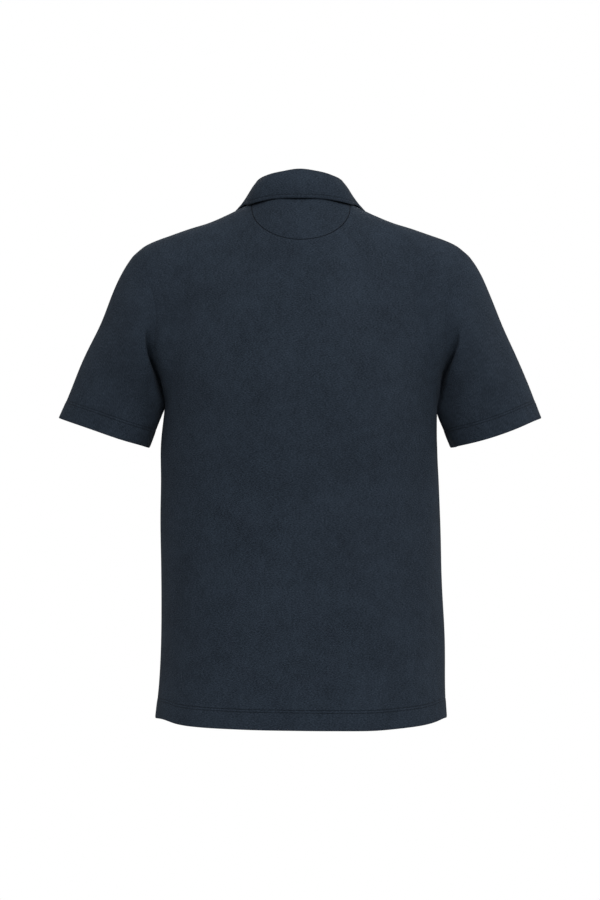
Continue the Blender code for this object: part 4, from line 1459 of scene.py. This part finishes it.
class POLO_OT_stage(bpy.types.Operator):
    """Set the pale floor, the soft light and the camera."""

    bl_idname = "polo.stage"
    bl_label = "Stage"

    def execute(self, context):
        stage = context.scene.polo_stage
        self.floor()
        self.world(stage.sky)
        self.area("Key", (-0.50, 2.0, 1.30), (0.0, 0.0, -0.20), 1.3, stage.key_power)
        self.area("Rim", (-1.75, -0.45, 0.30), (-0.15, 0.0, -0.4), 0.7, stage.rim_power)
        self.area("Fill", (0.1, -2.4, 0.9), (0.0, 0.0, -0.25), 1.6, stage.front_power)
        camera = bpy.data.cameras.new("Camera")
        camera.sensor_fit = "AUTO"
        camera.sensor_width = SENSOR
        camera.lens = SENSOR * CAMERA_DISTANCE / VIEW_HEIGHT
        camera.shift_x = CAMERA_SHIFT
        eye = bpy.data.objects.new("Camera", camera)
        eye.location = (0.0, CAMERA_DISTANCE, CAMERA_LEVEL)
        eye.rotation_euler = (math.radians(90.0), 0.0, math.radians(180.0))
        context.scene.collection.objects.link(eye)
        context.scene.camera = eye
        context.scene.view_settings.view_transform = "Standard"
        return {"FINISHED"}

    def floor(self):
        bm = bmesh.new()
        level = Matrix.Translation((0.0, 0.0, FLOOR_LEVEL))
        bmesh.ops.create_circle(bm, cap_ends=True, segments=96, radius=FLOOR_RADIUS, matrix=level)
        link("floor", bm, floor_material())

    def world(self, sky):
        """White behind everything, and a soft even light from all around."""
        world = bpy.data.worlds.new("Studio")
        world.use_nodes = True
        w = Wires(world.node_tree)
        seen = w.node("ShaderNodeLightPath").outputs["Is Camera Ray"]
        parts = w.node("ShaderNodeSeparateXYZ")
        w.join(w.node("ShaderNodeTexCoord").outputs["Generated"], parts.inputs[0])
        light = w.fade(parts.outputs["Z"], SKY_LOW, SKY_HIGH, SKY_DIM * sky, SKY_BRIGHT * sky)
        strength = w.math("MULTIPLY_ADD", seen, w.math("SUBTRACT", 1.0, light), light)
        w.feed(world.node_tree.nodes["Background"], {"Color": (1.0, 1.0, 1.0, 1.0), "Strength": strength})
        bpy.context.scene.world = world

    def area(self, name, place, target, size, power):
        light = bpy.data.lights.new(name, "AREA")
        light.size = size
        light.energy = power
        obj = bpy.data.objects.new(name, light)
        obj.location = place
        obj.rotation_euler = (Vector(target) - Vector(place)).to_track_quat("-Z", "Y").to_euler()
        bpy.context.scene.collection.objects.link(obj)


# ---------------------------------------------------------------- add-on

def size_property(name, description, default):
    return FloatProperty(
        name=name, description=description, default=default, min=0.0, precision=5, subtype="DISTANCE",
        unit="LENGTH",
    )


def share_property(name, description, default, most=2.0):
    return FloatProperty(name=name, description=description, default=default, min=0.0, max=most)


def power_property(name, description, default):
    return FloatProperty(name=name, description=description, default=default, min=0.0, unit="POWER")


def colour_property(name, description, default):
    return FloatVectorProperty(
        name=name, description=description, default=default, size=3, min=0.0, max=1.0, subtype="COLOR"
    )


class PoloShirtSizes(bpy.types.PropertyGroup):
    """The sizes of the shirt's cloth and buttons that do not change its cut."""

    knit: size_property("Knit", "Thickness of one ply of the body's knit", KNIT)
    collar_knit: size_property("Collar Knit", "Thickness of the collar's two plies", COLLAR_KNIT)
    unevenness: size_property("Unevenness", "Depth of the cloth's slow waves", UNEVEN_DEPTH)
    folds: share_property("Folds", "Share of the folds' depth", 1.0)
    button_radius: size_property("Button Radius", "Radius of the buttons", BUTTON_RADIUS)
    button_thickness: size_property("Button Thickness", "Thickness of the buttons", BUTTON_THICKNESS)


class PoloShirtLook(bpy.types.PropertyGroup):
    """The shirt's colours and finishes."""

    body_colour: colour_property("Body Colour", "Knit of the body and the sleeves", (0.0196, 0.0277, 0.0397))
    collar_colour: colour_property("Collar Colour", "Knit of the collar", (0.0201, 0.0283, 0.0405))
    thread_colour: colour_property("Thread Colour", "Sewing thread", (0.0045, 0.0066, 0.0100))
    button_colour: colour_property("Button Colour", "Buttons", (0.0180, 0.0240, 0.0340))
    heather: share_property("Heather", "Mottling of the yarn", 1.75)
    # The clouds are slow random patches of the knit's tone that partly stand in for the drape's soft shading:
    # painted shade and light.
    clouds: share_property("Clouds", "Slow unevenness of the dye", 0.45)
    sheen: share_property("Sheen", "Soft fibre ends", 0.018, most=1.0)


class PoloShirtStage(bpy.types.PropertyGroup):
    """The light of the stage."""

    sky: share_property("Sky", "Even light from all around", 0.58)
    key_power: power_property("Key", "Light beside the camera", 37.0)
    rim_power: power_property("Rim", "Light that grazes the side", 5.2)
    front_power: power_property("Front", "Light on the shirt's front", 20.0)


def sizes():
    return bpy.context.scene.polo_sizes


def look():
    return bpy.context.scene.polo_look


OPERATORS = (
    POLO_OT_back, POLO_OT_front, POLO_OT_half_moon, POLO_OT_sleeves, POLO_OT_collar, POLO_OT_placket,
    POLO_OT_buttons, POLO_OT_stage,
)


class POLO_PT_panel(bpy.types.Panel):
    """The shirt's sizes, colours, lights and pieces."""

    bl_idname = "POLO_PT_panel"
    bl_label = "Polo Shirt"
    bl_space_type = "VIEW_3D"
    bl_region_type = "UI"
    bl_category = "Polo Shirt"

    def draw(self, context):
        for owner in (context.scene.polo_sizes, context.scene.polo_look, context.scene.polo_stage):
            for name in owner.__annotations__:
                self.layout.prop(owner, name)
        for operator in OPERATORS:
            self.layout.operator(operator.bl_idname)


CLASSES = (PoloShirtSizes, PoloShirtLook, PoloShirtStage, *OPERATORS, POLO_PT_panel)


def register():
    for cls in CLASSES:
        bpy.utils.register_class(cls)
    bpy.types.Scene.polo_sizes = PointerProperty(type=PoloShirtSizes)
    bpy.types.Scene.polo_look = PointerProperty(type=PoloShirtLook)
    bpy.types.Scene.polo_stage = PointerProperty(type=PoloShirtStage)


def unregister():
    del bpy.types.Scene.polo_stage
    del bpy.types.Scene.polo_look
    del bpy.types.Scene.polo_sizes
    for cls in reversed(CLASSES):
        bpy.utils.unregister_class(cls)


def main():
    register()
    for piece in ("back", "front", "half_moon", "sleeves", "collar", "placket", "buttons", "stage"):
        getattr(bpy.ops.polo, piece)()


if __name__ == "__main__":
    main()
